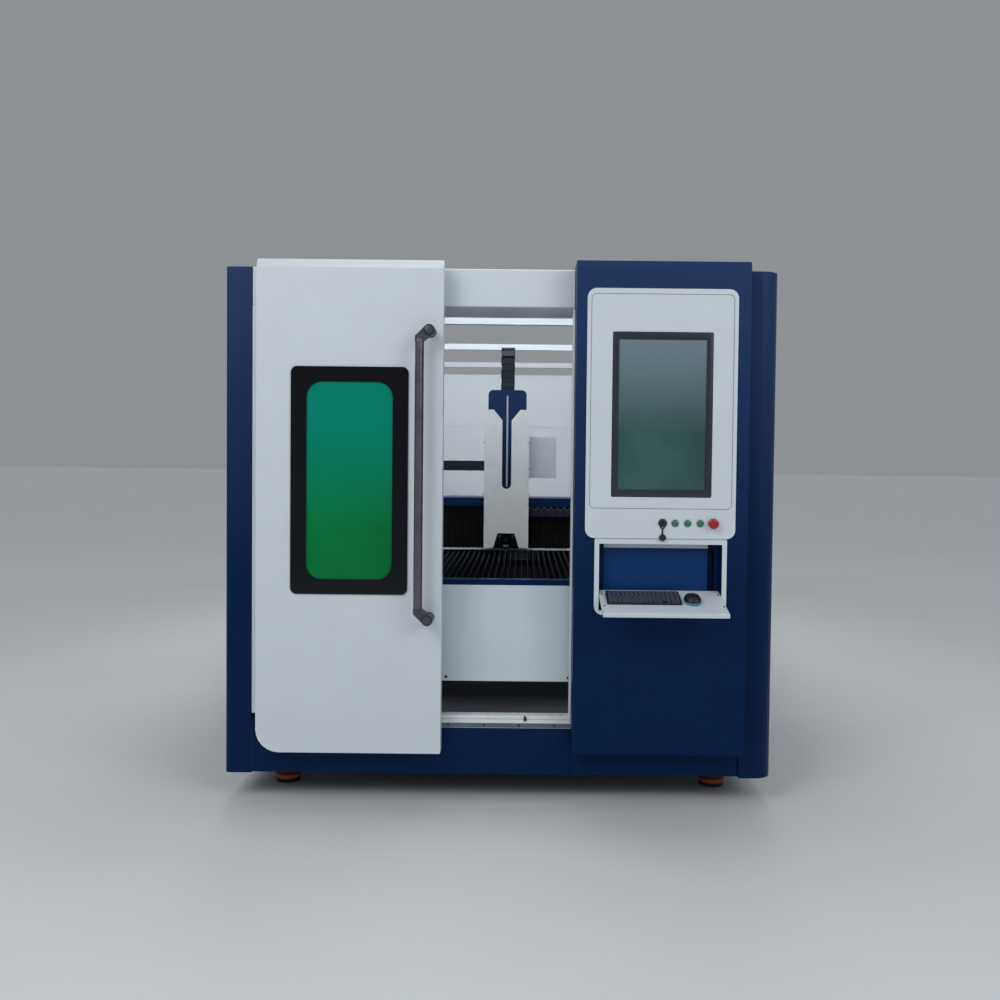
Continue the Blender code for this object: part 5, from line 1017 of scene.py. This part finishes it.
@dataclass
class Gantry:
    """The beam, its trucks and bellows, and the cross drag chain.

    split keeps the chain's runs and its bend apart where they meet, and reach is not used. The covers are the
    shares of a link's pitch that its lids close.
    """

    pleat: float = 0.017
    fold: float = 0.012
    sheet: float = 0.0025
    hood_pitch: float = 0.036
    hood_fold: float = 0.018
    hood_notch: float = 0.016
    hood_height: float = 0.052
    binding: float = 0.003
    link: float = 0.042
    trim: float = 0.010
    split: float = 0.0006
    reach: float = 0.5
    run_cover: float = 0.92
    bend_cover: float = 0.6

    def build(self) -> None:
        """Dress the beam and build the bellows, their strip, the chain and the wiper."""
        dress("gantry_beam", NAVY_COAT, 0.0015)
        for side in ("left", "right"):
            dress("gantry_truck_" + side, DARK_STEEL, 0.002)
            self._bellows(side)
        self._hood()
        self._cross_chain()
        self._lower_trim()

    def _lower_trim(self) -> None:
        """Run the bright wiper strip along the lower edge of the beam's front."""
        low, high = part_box("gantry_beam")
        front = min(v.co.y for v in FRAME["nodes"]["gantry_beam"].data.vertices if v.co.z < low[2] + self.trim)
        plate("beam_wiper_strip", (low[0] + 0.002, front - 0.0016, low[2] + 0.0005),
              (high[0] - 0.002, front + 0.0004, low[2] + self.trim), 0.0005, GREY_SHEET, "gantry", "satin_steel")

    def _bellows(self, side: str) -> None:
        """Build one pleated cover in place of the imported one.

        Args:
            side: left or right.
        """
        low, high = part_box("bellows_" + side)
        near, far = (high[0], low[0]) if side == "left" else (low[0], high[0])
        count = 2 * int(abs(far - near) / self.pleat)
        shape = Shape("bellows_folds_" + side)
        rings = []
        for n in range(count + 1):
            x = near + (far - near) * n / count
            fold = self.fold if n % 2 else 0.0
            front, bottom, top = low[1] + fold, low[2] + fold / 2, high[2] - fold / 2
            s = self.sheet
            section = [(high[1], bottom), (front, bottom), (front, top), (high[1], top), (high[1], top - s),
                       (front + s, top - s), (front + s, bottom + s), (high[1], bottom + s)]
            rings.append([shape.mesh.verts.new((x, y, z)) for y, z in section])
        shape.skin(rings)
        piece = shape.finish(BELLOWS_CLOTH, smooth=10)
        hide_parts("bellows_" + side)
        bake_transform(piece)
        LOG.info("%s opens with the carriage", piece.name)

    def _hood(self) -> None:
        """Hang the coarse-folded strip, notched at every fold, along the top of the right cover."""
        low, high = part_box("bellows_right")
        count = 2 * round((high[0] - low[0]) / self.hood_pitch)
        # The strip's paler cloth is a painted highlight on its folds.
        for name, finish, slot, foot, head in (
                ("bellows_hood_right", HOOD_CLOTH, "bellows_cloth", None, self.binding + 0.0002),
                ("bellows_hood_binding", GREY_SEALANT, "grey_sheet", self.binding, 0.0)):
            shape = Shape(name)
            rings = []
            for n in range(count + 1):
                x = low[0] + (high[0] - low[0]) * n / count
                ahead = n % 2
                y = low[1] - self.sheet - 0.001 - self.hood_fold * ahead
                edge = high[2] - self.hood_notch * ahead
                top, bottom = edge - head, edge - foot if foot else high[2] - self.hood_height
                section = [(y, bottom), (y, top), (y + self.sheet, top), (y + self.sheet, bottom)]
                rings.append([shape.mesh.verts.new((x, y, z)) for y, z in section])
            shape.skin(rings)
            piece = shape.finish(finish, smooth=10)
            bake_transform(piece)
            LOG.info("%s folds with the cover", piece.name)

    def _cross_chain(self) -> None:
        """Build the cross chain's two runs and its bend."""
        up_low, up_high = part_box("x_chain_upper")
        run_low, run_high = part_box("x_chain_lower")
        z_up, z_run = (up_low[2] + up_high[2]) / 2, (run_low[2] + run_high[2]) / 2
        y = (up_low[1] + up_high[1]) / 2
        link = ChainLink(self.link, up_high[1] - up_low[1], up_high[2] - up_low[2])
        bend_x = up_low[0]
        for name, z, stop, sign in (("upper", z_up, up_high[0], 1), ("lower", z_run, run_high[0], -1)):
            run = Shape("cross_chain_" + name)
            for n, t in enumerate(stations(stop - bend_x, self.link)):
                link.add(run, Matrix.Translation((bend_x + t, y, z)), n % 2 == 1, self.run_cover)
            for vert in run.mesh.verts:
                vert.co.x = max(vert.co.x, bend_x + self.split)
            piece = run.finish(CHAIN_NYLON)
            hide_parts("x_chain_" + name)
            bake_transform(piece)
            LOG.info("%s follows the carriage", piece.name)
        radius = (z_up - z_run) / 2
        bend = Shape("cross_chain_bend")
        for n, t in enumerate(stations(math.pi * radius, self.link)):
            angle = math.pi / 2 + t / radius
            middle = (bend_x + radius * math.cos(angle), y, z_run + radius + radius * math.sin(angle))
            turned = Matrix.Rotation(-angle - math.pi / 2, 4, "Y")
            link.add(bend, Matrix.Translation(middle) @ turned, n % 2 == 0, self.bend_cover)
        for vert in bend.mesh.verts:
            vert.co.x = min(vert.co.x, bend_x - self.split)
        settle(bend.finish(CHAIN_NYLON), "cross_chain", "chain_plastic", "x_chain_bend")


@dataclass
class HeadAndCarriage:
    """The cross carriage, head plate, cover, cutting head and upright chain."""

    strip_width: float = 0.009
    strip_bottom: float = 1.225
    strip_top: float = 1.711
    link: float = 0.036
    chain_height: float = 0.024
    chain_foot: float = 1.663
    body_radius: float = 0.0315
    ring_radius: float = 0.0162
    post_radius: float = 0.0065
    screw_radius: float = 0.0045
    screw_depth: float = 0.02
    screw_heights: tuple[float, ...] = (0.946, 1.143, 1.189, 1.323, 1.459)

    def build(self) -> None:
        """Dress the plates and build the scale strip, the cutting head and the chain."""
        dress("x_carriage", DARK_STEEL, 0.0012)
        dress("side_plate", GREY_SHEET)
        dress("head_plate", NAVY_COAT, 0.0015)
        dress("head_cover", WHITE_ENAMEL_AND_PAINTED_LIGHT, 0.0008)
        self._strip()
        self._cover_screws()
        self._cutting_head()
        self._upright_chain()

    def _cover_screws(self) -> None:
        """Put small dark screws in the cover's two side flanges."""
        low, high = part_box("head_cover")
        shape = Shape("cover_screws")
        for face, sign in ((low[0], -1), (high[0], 1)):
            for z in self.screw_heights:
                cap_screw(shape, facing_side(face, low[1] + self.screw_depth, z, sign), self.screw_radius)
        settle(shape.finish(DARK_STEEL), "head_slide", "dark_steel")

    def _strip(self) -> None:
        """Face the scale strip that runs down the middle of the head plate."""
        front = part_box("head_plate")[0][1]
        half = self.strip_width / 2
        strip = Shape("scale_strip")
        strip.prism(rounded((-half, self.strip_bottom), (half, self.strip_top), half * 0.9, 6), Axis.Y,
                    front - 0.0004, front + 0.001)
        settle(strip.finish(ALUMINIUM), "head_slide", "satin_steel")

    def _cutting_head(self) -> None:
        """Build the cutting head, measured from its tip: body, posts, nuts, ceramic ring, insulator and nozzle."""
        low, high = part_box("cutting_head")
        tip, top = low.z, high.z - low.z
        r, w, p = self.body_radius, self.ring_radius, self.post_radius
        y = low.y + r
        axis = upright(0, y, tip)
        body = Shape("cutting_head_body")
        body.turn([(0, 0.0375), (r * 0.4, 0.0375), (r * 0.62, 0.052), (r, 0.055), (r, 0.075), (r * 0.8, 0.079),
                   (r * 0.8, 0.118), (r, 0.121), (r, top - 0.002), (r - 0.002, top), (0, top)], axis, 48)
        body.block((-0.040, y + r / 2, tip + 0.136), (0.040, high.y, high.z - 0.003), 0.002)
        body.block((r * 0.7, y - 0.012, tip + 0.150), (r + 0.0085, y + 0.012, tip + 0.200), 0.002)
        settle(body.finish(BLACK_COAT, smooth=30), "head_slide", "dark_steel", "cutting_head")
        posts, nuts = Shape("head_guide_posts"), Shape("head_post_nuts")
        for sign in (-1, 1):
            post = upright(sign * (high.x - p), low.y + p + 0.001, tip)
            posts.disc(p, 0.030, 0.078, post)
            nuts.turn([(0, 0.0782), (p * 0.8, 0.0782), (p * 0.85, 0.080), (p * 0.85, 0.087), (p * 0.6, 0.089),
                       (0, 0.089)], post, 24)
        settle(posts.finish(DARK_STEEL, 0.0005), "head_slide", "dark_steel")
        settle(nuts.finish(SATIN_STEEL), "head_slide", "rail_steel")
        lathe("head_lock_ring", [(0, 0.0245), (w - 0.0007, 0.0245), (w, 0.0252), (w, 0.0365), (w - 0.0007, 0.0373),
                                 (0, 0.0373)], axis, 40, CERAMIC, "head_slide", "white_paint")
        lathe("nozzle_insulator", [(0, 0.0122), (w * 0.56, 0.0122), (w * 0.7, 0.018), (w * 0.7, 0.0243),
                                   (0, 0.0243)], axis, 32, BLACK_ABS, "head_slide", "black_paint")
        lathe("nozzle_tip", [(0, 0), (w * 0.12, 0), (w * 0.26, 0.001), (w * 0.34, 0.006), (w * 0.64, 0.007),
                             (w * 0.64, 0.011), (w * 0.45, 0.012), (0, 0.012)], axis, 32, SATIN_STEEL,
              "head_slide", "rail_steel")

    def _upright_chain(self) -> None:
        """Build the U-shaped upright chain."""
        low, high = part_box("z_chain")
        front, rear = low[1] + self.chain_height / 2, high[1] - self.chain_height / 2
        radius = (rear - front) / 2
        bend_z = high[2] - self.chain_height / 2 - radius
        link = ChainLink(self.link, high[0] - low[0], self.chain_height)
        rise, turn = bend_z - self.chain_foot, math.pi * radius
        shape = Shape("upright_chain")
        for n, t in enumerate(stations(rise + turn + bend_z - low[2], self.link)):
            cover = 0.92
            if t < rise:
                y, z, angle = front, self.chain_foot + t, math.pi / 2
            elif t < rise + turn:
                sweep = (t - rise) / radius
                y, z = front + radius - radius * math.cos(sweep), bend_z + radius * math.sin(sweep)
                angle, cover = math.pi / 2 - sweep, 0.95
            else:
                y, z, angle = rear, bend_z - (t - rise - turn), -math.pi / 2
            middle = Matrix.Translation(((low[0] + high[0]) / 2, y, z))
            along = Matrix.Rotation(angle, 4, "X") @ Matrix.Rotation(math.pi / 2, 4, "Z")
            link.add(shape, middle @ along, n % 2 == 1, cover)
        piece = shape.finish(CHAIN_NYLON)
        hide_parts("z_chain")
        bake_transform(piece)
        LOG.info("%s bends as the head rises", piece.name)


@dataclass
class ControlStation:
    """The cabinet with its panel, screen, buttons, socket and keyboard frame."""

    button_radius: float = 0.011
    ring_width: float = 0.0035
    mushroom_height: float = 0.015
    stem_radius: float = 0.0075
    collar_radius: float = 0.0185
    panel_thickness: float = 0.0063
    port_radius: float = 0.0165
    cap_radius: float = 0.0132
    plug_radius: float = 0.0094
    seam_inset: float = 0.015
    seam_bottom: float = 0.114
    seam_top: float = 0.020
    seam_width: float = 0.002
    seam_radius: float = 0.02
    lip_sides: Point2 = (0.404, 0.811)
    lip_heights: Point2 = (1.030, 1.046)
    recess_back: float = -1.589
    painted_light_sheet_foot: float = 0.82

    def build(self) -> None:
        """Dress the cabinet and build the fine pieces on its panel."""
        dress("control_cabinet", NAVY_COAT, 0.002)
        for node in ("control_panel", "keyboard_frame"):
            dress(node, WHITE_COAT, 0.0009)
        dress("screen_glass", SCREEN_GLASS)
        self._bezel()
        self._port()
        self._seam()
        self._recess_lip()
        for n, body in ((1, "first_button"), (2, "second_button"), (3, "third_button")):
            self._button(n, body)
        self._stop()

    def _bezel(self) -> None:
        """Build the screen's surround with its round corners."""
        outer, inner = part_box("screen_bezel"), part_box("screen_glass")
        front, back = outer[0][1], outer[1][1]
        clear = Vector((0.0003, 0, 0.0003))
        surround = Shape("screen_surround")
        surround.surround(outer, (inner[0] - clear, inner[1] + clear), [
            (0.0, 0.010, back), (0.0, 0.010, front + 0.003), (0.06, 0.0095, front + 0.0009), (0.13, 0.009, front),
            (0.90, 0.004, front), (0.97, 0.0035, front + 0.0006), (1.0, 0.003, front + 0.0016), (1.0, 0.003, back)])
        settle(surround.finish(BEZEL_PAINT), "enclosure", "black_paint", "screen_bezel")

    def _port(self) -> None:
        """Build the socket's round collar with its tail, and the cap that hangs from it on a strap."""
        _, high, (x, _, z) = extent("port_collar")
        back, r = high.y, self.port_radius
        collar = Shape("port_collar_body")
        foot = z - r * 1.35
        collar.prism(wrapped([(x - 0.005, foot), (x + 0.005, foot)], (x, z), r), Axis.Y, back - 0.0035, back)
        collar.turn([(0, 0.003), (r, 0.003), (r, 0.0055), (r * 0.86, 0.0072), (r * 0.6, 0.0076), (r * 0.55, 0.0066),
                     (0, 0.0066)], facing_front(x, back, z), 40)
        settle(collar.finish(BLACK_ABS, 0.0005), "enclosure", "black_rubber", "port_collar")
        cap_low, cap_high, cap_mid = extent("port_cap")
        cap_z = cap_low.z + (cap_high.x - cap_low.x) / 2
        c, plug = self.cap_radius, self.plug_radius
        cap = Shape("port_cap_body")
        cap.turn([(0, 0), (plug, 0), (plug, 0.0046), (c, 0.0048), (c, 0.0062), (c * 0.92, 0.0072), (0, 0.0074)],
                 facing_front(cap_mid.x, cap_high.y, cap_z), 40)
        cap.block((x - 0.0032, cap_high.y - 0.0026, cap_z), (x + 0.0032, cap_high.y - 0.0004, cap_high.z), 0.0006, 1)
        settle(cap.finish(RUBBER), "dust_cap", "black_rubber", "port_cap")

    def _seam(self) -> None:
        """Lay the dark gasket in the groove round the screen's door, and a strip under the panel's foot."""
        low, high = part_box("control_panel")
        face = self._face()
        first = Vector((low[0] + self.seam_inset, face, low[2] + self.seam_bottom))
        last = Vector((high[0] - self.seam_inset, face, high[2] - self.seam_top))
        step, r = Vector((self.seam_width, 0, self.seam_width)), self.seam_radius
        gasket = Shape("panel_gasket")
        gasket.surround((first, last), (first + step, last - step), [
            (0.02, r, face + 0.0012), (0.02, r, face - 0.0002), (0.98, r - 0.002, face - 0.0002),
            (0.98, r - 0.002, face + 0.0012)])
        settle(gasket.finish(GREY_SEALANT), "enclosure", "black_rubber")
        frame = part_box("keyboard_frame")
        plate("panel_foot_strip", (frame[0][0] + 0.002, frame[0][1] + 0.0006, frame[1][2] + 0.0002),
              (frame[1][0] - 0.002, frame[1][1] - 0.0002, low[2] - 0.0012), 0.0003, GREY_SHEET, "enclosure",
              "white_paint")

    def _recess_lip(self) -> None:
        """Fasten the pale lip under the top of the keyboard's recess, and below it a sheet in a lighter navy, painted
        light over the recess's shaded back.
        """
        (left, right), (low, high), back = self.lip_sides, self.lip_heights, self.recess_back
        plate("recess_lip", (left, back - 0.008, low), (right, back - 0.0003, high), 0.001, WHITE_COAT,
              "enclosure", "white_paint")
        plate("recess_painted_light_sheet", (left, back - 0.0012, self.painted_light_sheet_foot), (right, back - 0.0002, low + 0.002), 0.0003,
              RECESS_PAINTED_LIGHT_COAT, "enclosure", "navy_paint")

    def _face(self) -> float:
        """Return the depth of the panel's front face."""
        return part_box("screen_bezel")[1][1] - self.panel_thickness

    def _button(self, number: int, body: str) -> None:
        """Build one green button and the bright ring round it.

        Args:
            number: its number.
            body: the body that moves with it.
        """
        node = f"button_{number}"
        low, high, (x, _, z) = extent(node)
        length = high[1] - low[1]
        r = self.button_radius
        lathe(node + "_lens", [(0, 0), (r, 0), (r, length - 0.003), (r * 0.93, length - 0.0008), (r * 0.75, length),
                               (r * 0.6, length - 0.0006), (0, length - 0.0009)],
              facing_front(x, high[1], z), 32, GREEN_LENS, body, "button_green", node)
        inner, outer = r + 0.0007, r + self.ring_width
        lathe(node + "_ring", [(inner, 0.0), (outer, 0.0), (outer, 0.0025), (outer - 0.001, 0.004),
                               (inner + 0.0006, 0.0045), (inner, 0.004)],
              facing_front(x, self._face(), z), 32, NICKEL, "enclosure", "satin_steel", hollow=True)

    def _stop(self) -> None:
        """Build the red mushroom head and the dark collar on the panel."""
        low, high, (x, _, z) = extent("stop_button")
        length = high[1] - low[1]
        r, h, stem = (high[0] - low[0]) / 2, self.mushroom_height, self.stem_radius
        lathe("stop_mushroom", [(0, 0), (stem, 0), (stem, length - h), (r * 0.95, length - h), (r, length - h * 0.8),
                                (r, length - h * 0.45), (r * 0.93, length - h * 0.2), (r * 0.75, length - h * 0.04),
                                (r * 0.55, length), (r * 0.4, length - 0.0006), (0, length - 0.0012)],
              facing_front(x, high[1], z), 48, RED_CAP, "stop", "stop_red", "stop_button")
        inner, outer = stem + 0.001, self.collar_radius
        lathe("stop_collar", [(inner, 0.0), (outer, 0.0), (outer, 0.003), (outer - 0.0025, 0.006), (inner, 0.0065)],
              facing_front(x, self._face(), z), 40, NICKEL, "enclosure", "satin_steel", hollow=True)


@dataclass
class KeyboardFlap:
    """The tilted tray with its keyboard and mouse."""

    margin: float = 0.006
    rows: int = 6
    columns: int = 16
    gap: float = 0.0016
    key_height: float = 0.004
    key_taper: float = 0.0014
    front_share: float = 0.55
    screw_inset: float = 0.0195
    screw_radius: float = 0.003
    mouse_shift: float = 0.006
    mouse_cut: float = 0.014
    mouse_steps: int = 40
    mouse_power: float = 0.82

    def build(self) -> None:
        """Dress the tray and build the keyboard, the mouse and the screws on it."""
        dress("keyboard_tray", WHITE_COAT)
        place = self._tilt()
        self._keyboard(place)
        self._mouse(place)
        self._screws(place)

    def _tilt(self) -> Matrix:
        """Return the tray's own frame: X across, Y to the rear along the tray, Z out of its floor."""
        hinge = next(j for j in FRAME["joints"] if j["name"] == "tray_hinge")
        slope = math.radians(hinge["range_deg"][1] - 90)
        return Matrix.Translation(hinge["pos_m"]) @ Matrix.Rotation(slope, 4, "X")

    def _keyboard(self, place: Matrix) -> None:
        """Build the keyboard's case and its keys.

        Args:
            place: the tray's frame.
        """
        lo, hi = flat_box("keyboard", place)
        case = Shape("keyboard_case")
        case.block(lo, (hi[0], hi[1], hi[2] - self.key_height), 0.003, 3)
        self._wedge(case, lo, hi)
        case.place_since(0, place)
        settle(case.finish(BLACK_ABS), "keyboard_flap", "key_plastic", "keyboard")
        keys = Shape("keyboard_keys")
        margin, rows, columns = self.margin, self.rows, self.columns
        step_x = (hi[0] - lo[0] - 2 * margin) / columns
        step_y = (hi[1] - lo[1] - 2 * margin) / rows
        spans = {5: [(0, 1), (1, 1), (2, 1), (3, 5), (8, 1), (9, 1), (10, 1), (11, 1), (13, 1), (14, 1), (15, 1)],
                 4: [(0, 2)] + [(n, 1) for n in range(2, 12)] + [(12, 1), (13, 1), (14, 1), (15, 1)],
                 3: [(0, 1.6)] + [(n + 0.6, 1) for n in range(1, 11)] + [(11.6, 1.4), (13, 1), (14, 1), (15, 1)]}
        z0, z1 = hi[2] - self.key_height - 0.0005, hi[2]
        levels = ((z0, 0.0), (z0 + 0.0022, 0.0002), (z1, self.key_taper))
        for row in range(rows):
            for start, span in spans.get(row, [(n, 1) for n in range(columns)]):
                x0 = lo[0] + margin + start * step_x + self.gap / 2
                x1 = lo[0] + margin + (start + span) * step_x - self.gap / 2
                y1 = hi[1] - margin - row * step_y - self.gap / 2
                y0 = y1 - step_y + self.gap
                keys.skin([[keys.mesh.verts.new(p) for p in (
                    (x0 + inset, y0 + inset, z), (x1 - inset, y0 + inset, z),
                    (x1 - inset, y1 - inset, z), (x0 + inset, y1 - inset, z))] for z, inset in levels])
        self._wedge(keys, lo, hi)
        keys.place_since(0, place)
        settle(keys.finish(KEY_ABS, 0.0004), "keyboard_flap", "key_plastic")

    def _screws(self, place: Matrix) -> None:
        """Put a small dark screw in each corner of the tray's floor.

        Args:
            place: the tray's frame.
        """
        tray, board = flat_box("keyboard_tray", place), flat_box("keyboard", place)
        shape = Shape("tray_screws")
        for x in (tray[0].x + self.screw_inset, tray[1].x - self.screw_inset):
            for y in (board[0].y - 0.012, board[1].y - 0.004):
                cap_screw(shape, Matrix.Translation((x, y, board[0].z)), self.screw_radius)
        shape.place_since(0, place)
        settle(shape.finish(DARK_STEEL), "keyboard_flap", "dark_steel")

    def _wedge(self, shape: Shape, low: Vector, high: Vector) -> None:
        """Thin a piece towards the user, as a keyboard's case is.

        Args:
            shape: the piece, in the tray's frame.
            low: the keyboard's lowest corner.
            high: the keyboard's highest corner.
        """
        for vert in shape.mesh.verts:
            share = (vert.co.y - low.y) / (high.y - low.y)
            vert.co.z = low.z + (vert.co.z - low.z) * (self.front_share + (1 - self.front_share) * share)

    def _mouse(self, place: Matrix) -> None:
        """Build the mouse: a black back over a teal skirt.

        Args:
            place: the tray's frame.
        """
        lo, hi = flat_box("mouse", place)
        lo += Vector((-self.mouse_shift, 0, 0))
        hi += Vector((0, -self.mouse_cut, 0))
        mid, half = (lo + hi) / 2, (hi - lo) / 2
        for name, finish, shares in (
            ("mouse_skirt", TEAL_ABS, ((0.90, 0.0), (0.98, 0.12), (1.0, 0.25), (0.97, 0.34))),
            ("mouse_back", BLACK_ABS, ((0.965, 0.34), (0.95, 0.45), (0.88, 0.65), (0.74, 0.82), (0.52, 0.94),
                                       (0.26, 0.99), (0.02, 1.0))),
        ):
            shape = Shape(name)
            rings = []
            steps, power = self.mouse_steps, self.mouse_power
            for share, level in shares:
                ring = []
                for k in range(steps):
                    x, y = math.cos(2 * math.pi * k / steps), math.sin(2 * math.pi * k / steps)
                    ring.append(shape.mesh.verts.new((
                        mid[0] + half[0] * share * math.copysign(abs(x) ** power, x),
                        mid[1] + half[1] * share * math.copysign(abs(y) ** power, y) - 0.004 * level,
                        lo[2] + (hi[2] - lo[2]) * level)))
                rings.append(ring)
            shape.skin(rings)
            shape.place_since(0, place)
            settle(shape.finish(finish, smooth=60), "keyboard_flap", "mouse_plastic",
                   *(["mouse"] if name == "mouse_back" else []))


@dataclass
class Studio:
    """The floor, the soft lights and the camera at the photograph's place.

    Each lamp has a name, a place, the point it is aimed at, a size, a power and the angle of its grid in degrees.
    """

    camera_place: tuple[float, float, float] = (0.08542, -5.33707, 1.36180)
    camera_turn: tuple[float, float, float] = (88.3668, -0.6030, 0.0185)
    lens: float = 34.558
    shift: tuple[float, float] = (-0.02267, -0.01106)
    sky_colour: str = "C9CED2"
    sky_strength: float = 0.46
    lamps: tuple = (
        ("key", (-3.0, -6.0, 4.6), (0.0, -1.6, 1.0), 3.0, 118.0, 180.0),
        ("fill", (4.0, -5.8, 4.0), (0.2, -1.6, 1.0), 3.0, 80.0, 180.0),
        ("top", (0.0, 0.4, 5.5), (0.0, 0.0, 1.0), 4.0, 100.0, 180.0),
        ("inner", (0.0, -1.4, 4.6), (0.0, 0.6, 1.2), 1.6, 19.0, 60.0),
    )
    floor_reach: float = 120.0
    glow: tuple[float, float, float] = (2.0, 8.0, 0.15)

    def build(self) -> None:
        """Set the floor, lights and camera."""
        self._floor()
        self._lights()
        data = bpy.data.cameras.new("camera")
        data.lens = self.lens
        data.sensor_width = 36.0
        data.shift_x, data.shift_y = self.shift
        camera = bpy.data.objects.new("camera", data)
        camera.location = self.camera_place
        camera.rotation_euler = Euler([math.radians(a) for a in self.camera_turn])
        bpy.context.scene.collection.objects.link(camera)
        bpy.context.scene.camera = camera

    def _floor(self) -> None:
        """Lay a pale floor whose far parts glow softly, so that it meets the sky without a dark band."""
        shape = Shape("floor")
        r = self.floor_reach
        shape.block((-r, -r, -0.05), (r, r, 0.0))
        finish = Finish("floor_pale", "E0E3E5", 0.55, Surface.SPRAYED, (30, 30, 30), 0.1, tone=0.02, tone_mm=900)
        floor = shape.finish(finish)
        tree = finish.material().node_tree
        near, far, most = self.glow
        place = add_node(tree, "ShaderNodeTexCoord").outputs["Object"]
        away = add_node(tree, "ShaderNodeVectorMath", {"operation": "LENGTH"}, {0: place})
        share = add_node(tree, "ShaderNodeMapRange", {"From Min": near, "From Max": far, "To Max": most},
                         {"Value": away.outputs["Value"]})
        shader = tree.nodes["Principled BSDF"]
        shader.inputs["Emission Color"].default_value = linear(self.sky_colour)
        tree.links.new(share.outputs["Result"], shader.inputs["Emission Strength"])

    def _lights(self) -> None:
        """Hang large soft lights and set an even grey sky."""
        world = bpy.data.worlds.new("studio")
        world.use_nodes = True
        sky = world.node_tree.nodes["Background"]
        sky.inputs["Color"].default_value = linear(self.sky_colour)
        sky.inputs["Strength"].default_value = self.sky_strength
        bpy.context.scene.world = world
        for name, place, aim, size, power, grid in self.lamps:
            data = bpy.data.lights.new(name, "AREA")
            data.size = size
            data.energy = power
            data.spread = math.radians(grid)
            lamp = bpy.data.objects.new(name, data)
            lamp.location = place
            lamp.rotation_euler = (Vector(aim) - Vector(place)).to_track_quat("-Z", "Y").to_euler()
            lamp.visible_camera = False
            bpy.context.scene.collection.objects.link(lamp)
        bpy.context.scene.view_settings.view_transform = "Standard"


def main() -> None:
    for maker in (Housing(), SlidingDoor(), SlatBed(), Gantry(), HeadAndCarriage(), ControlStation(),
                  KeyboardFlap(), Studio()):
        LOG.info("building %s", type(maker).__name__)
        maker.build()


logging.basicConfig(level=logging.INFO, format="%(name)s: %(message)s")
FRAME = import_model()

if __name__ == "__main__":
    main()
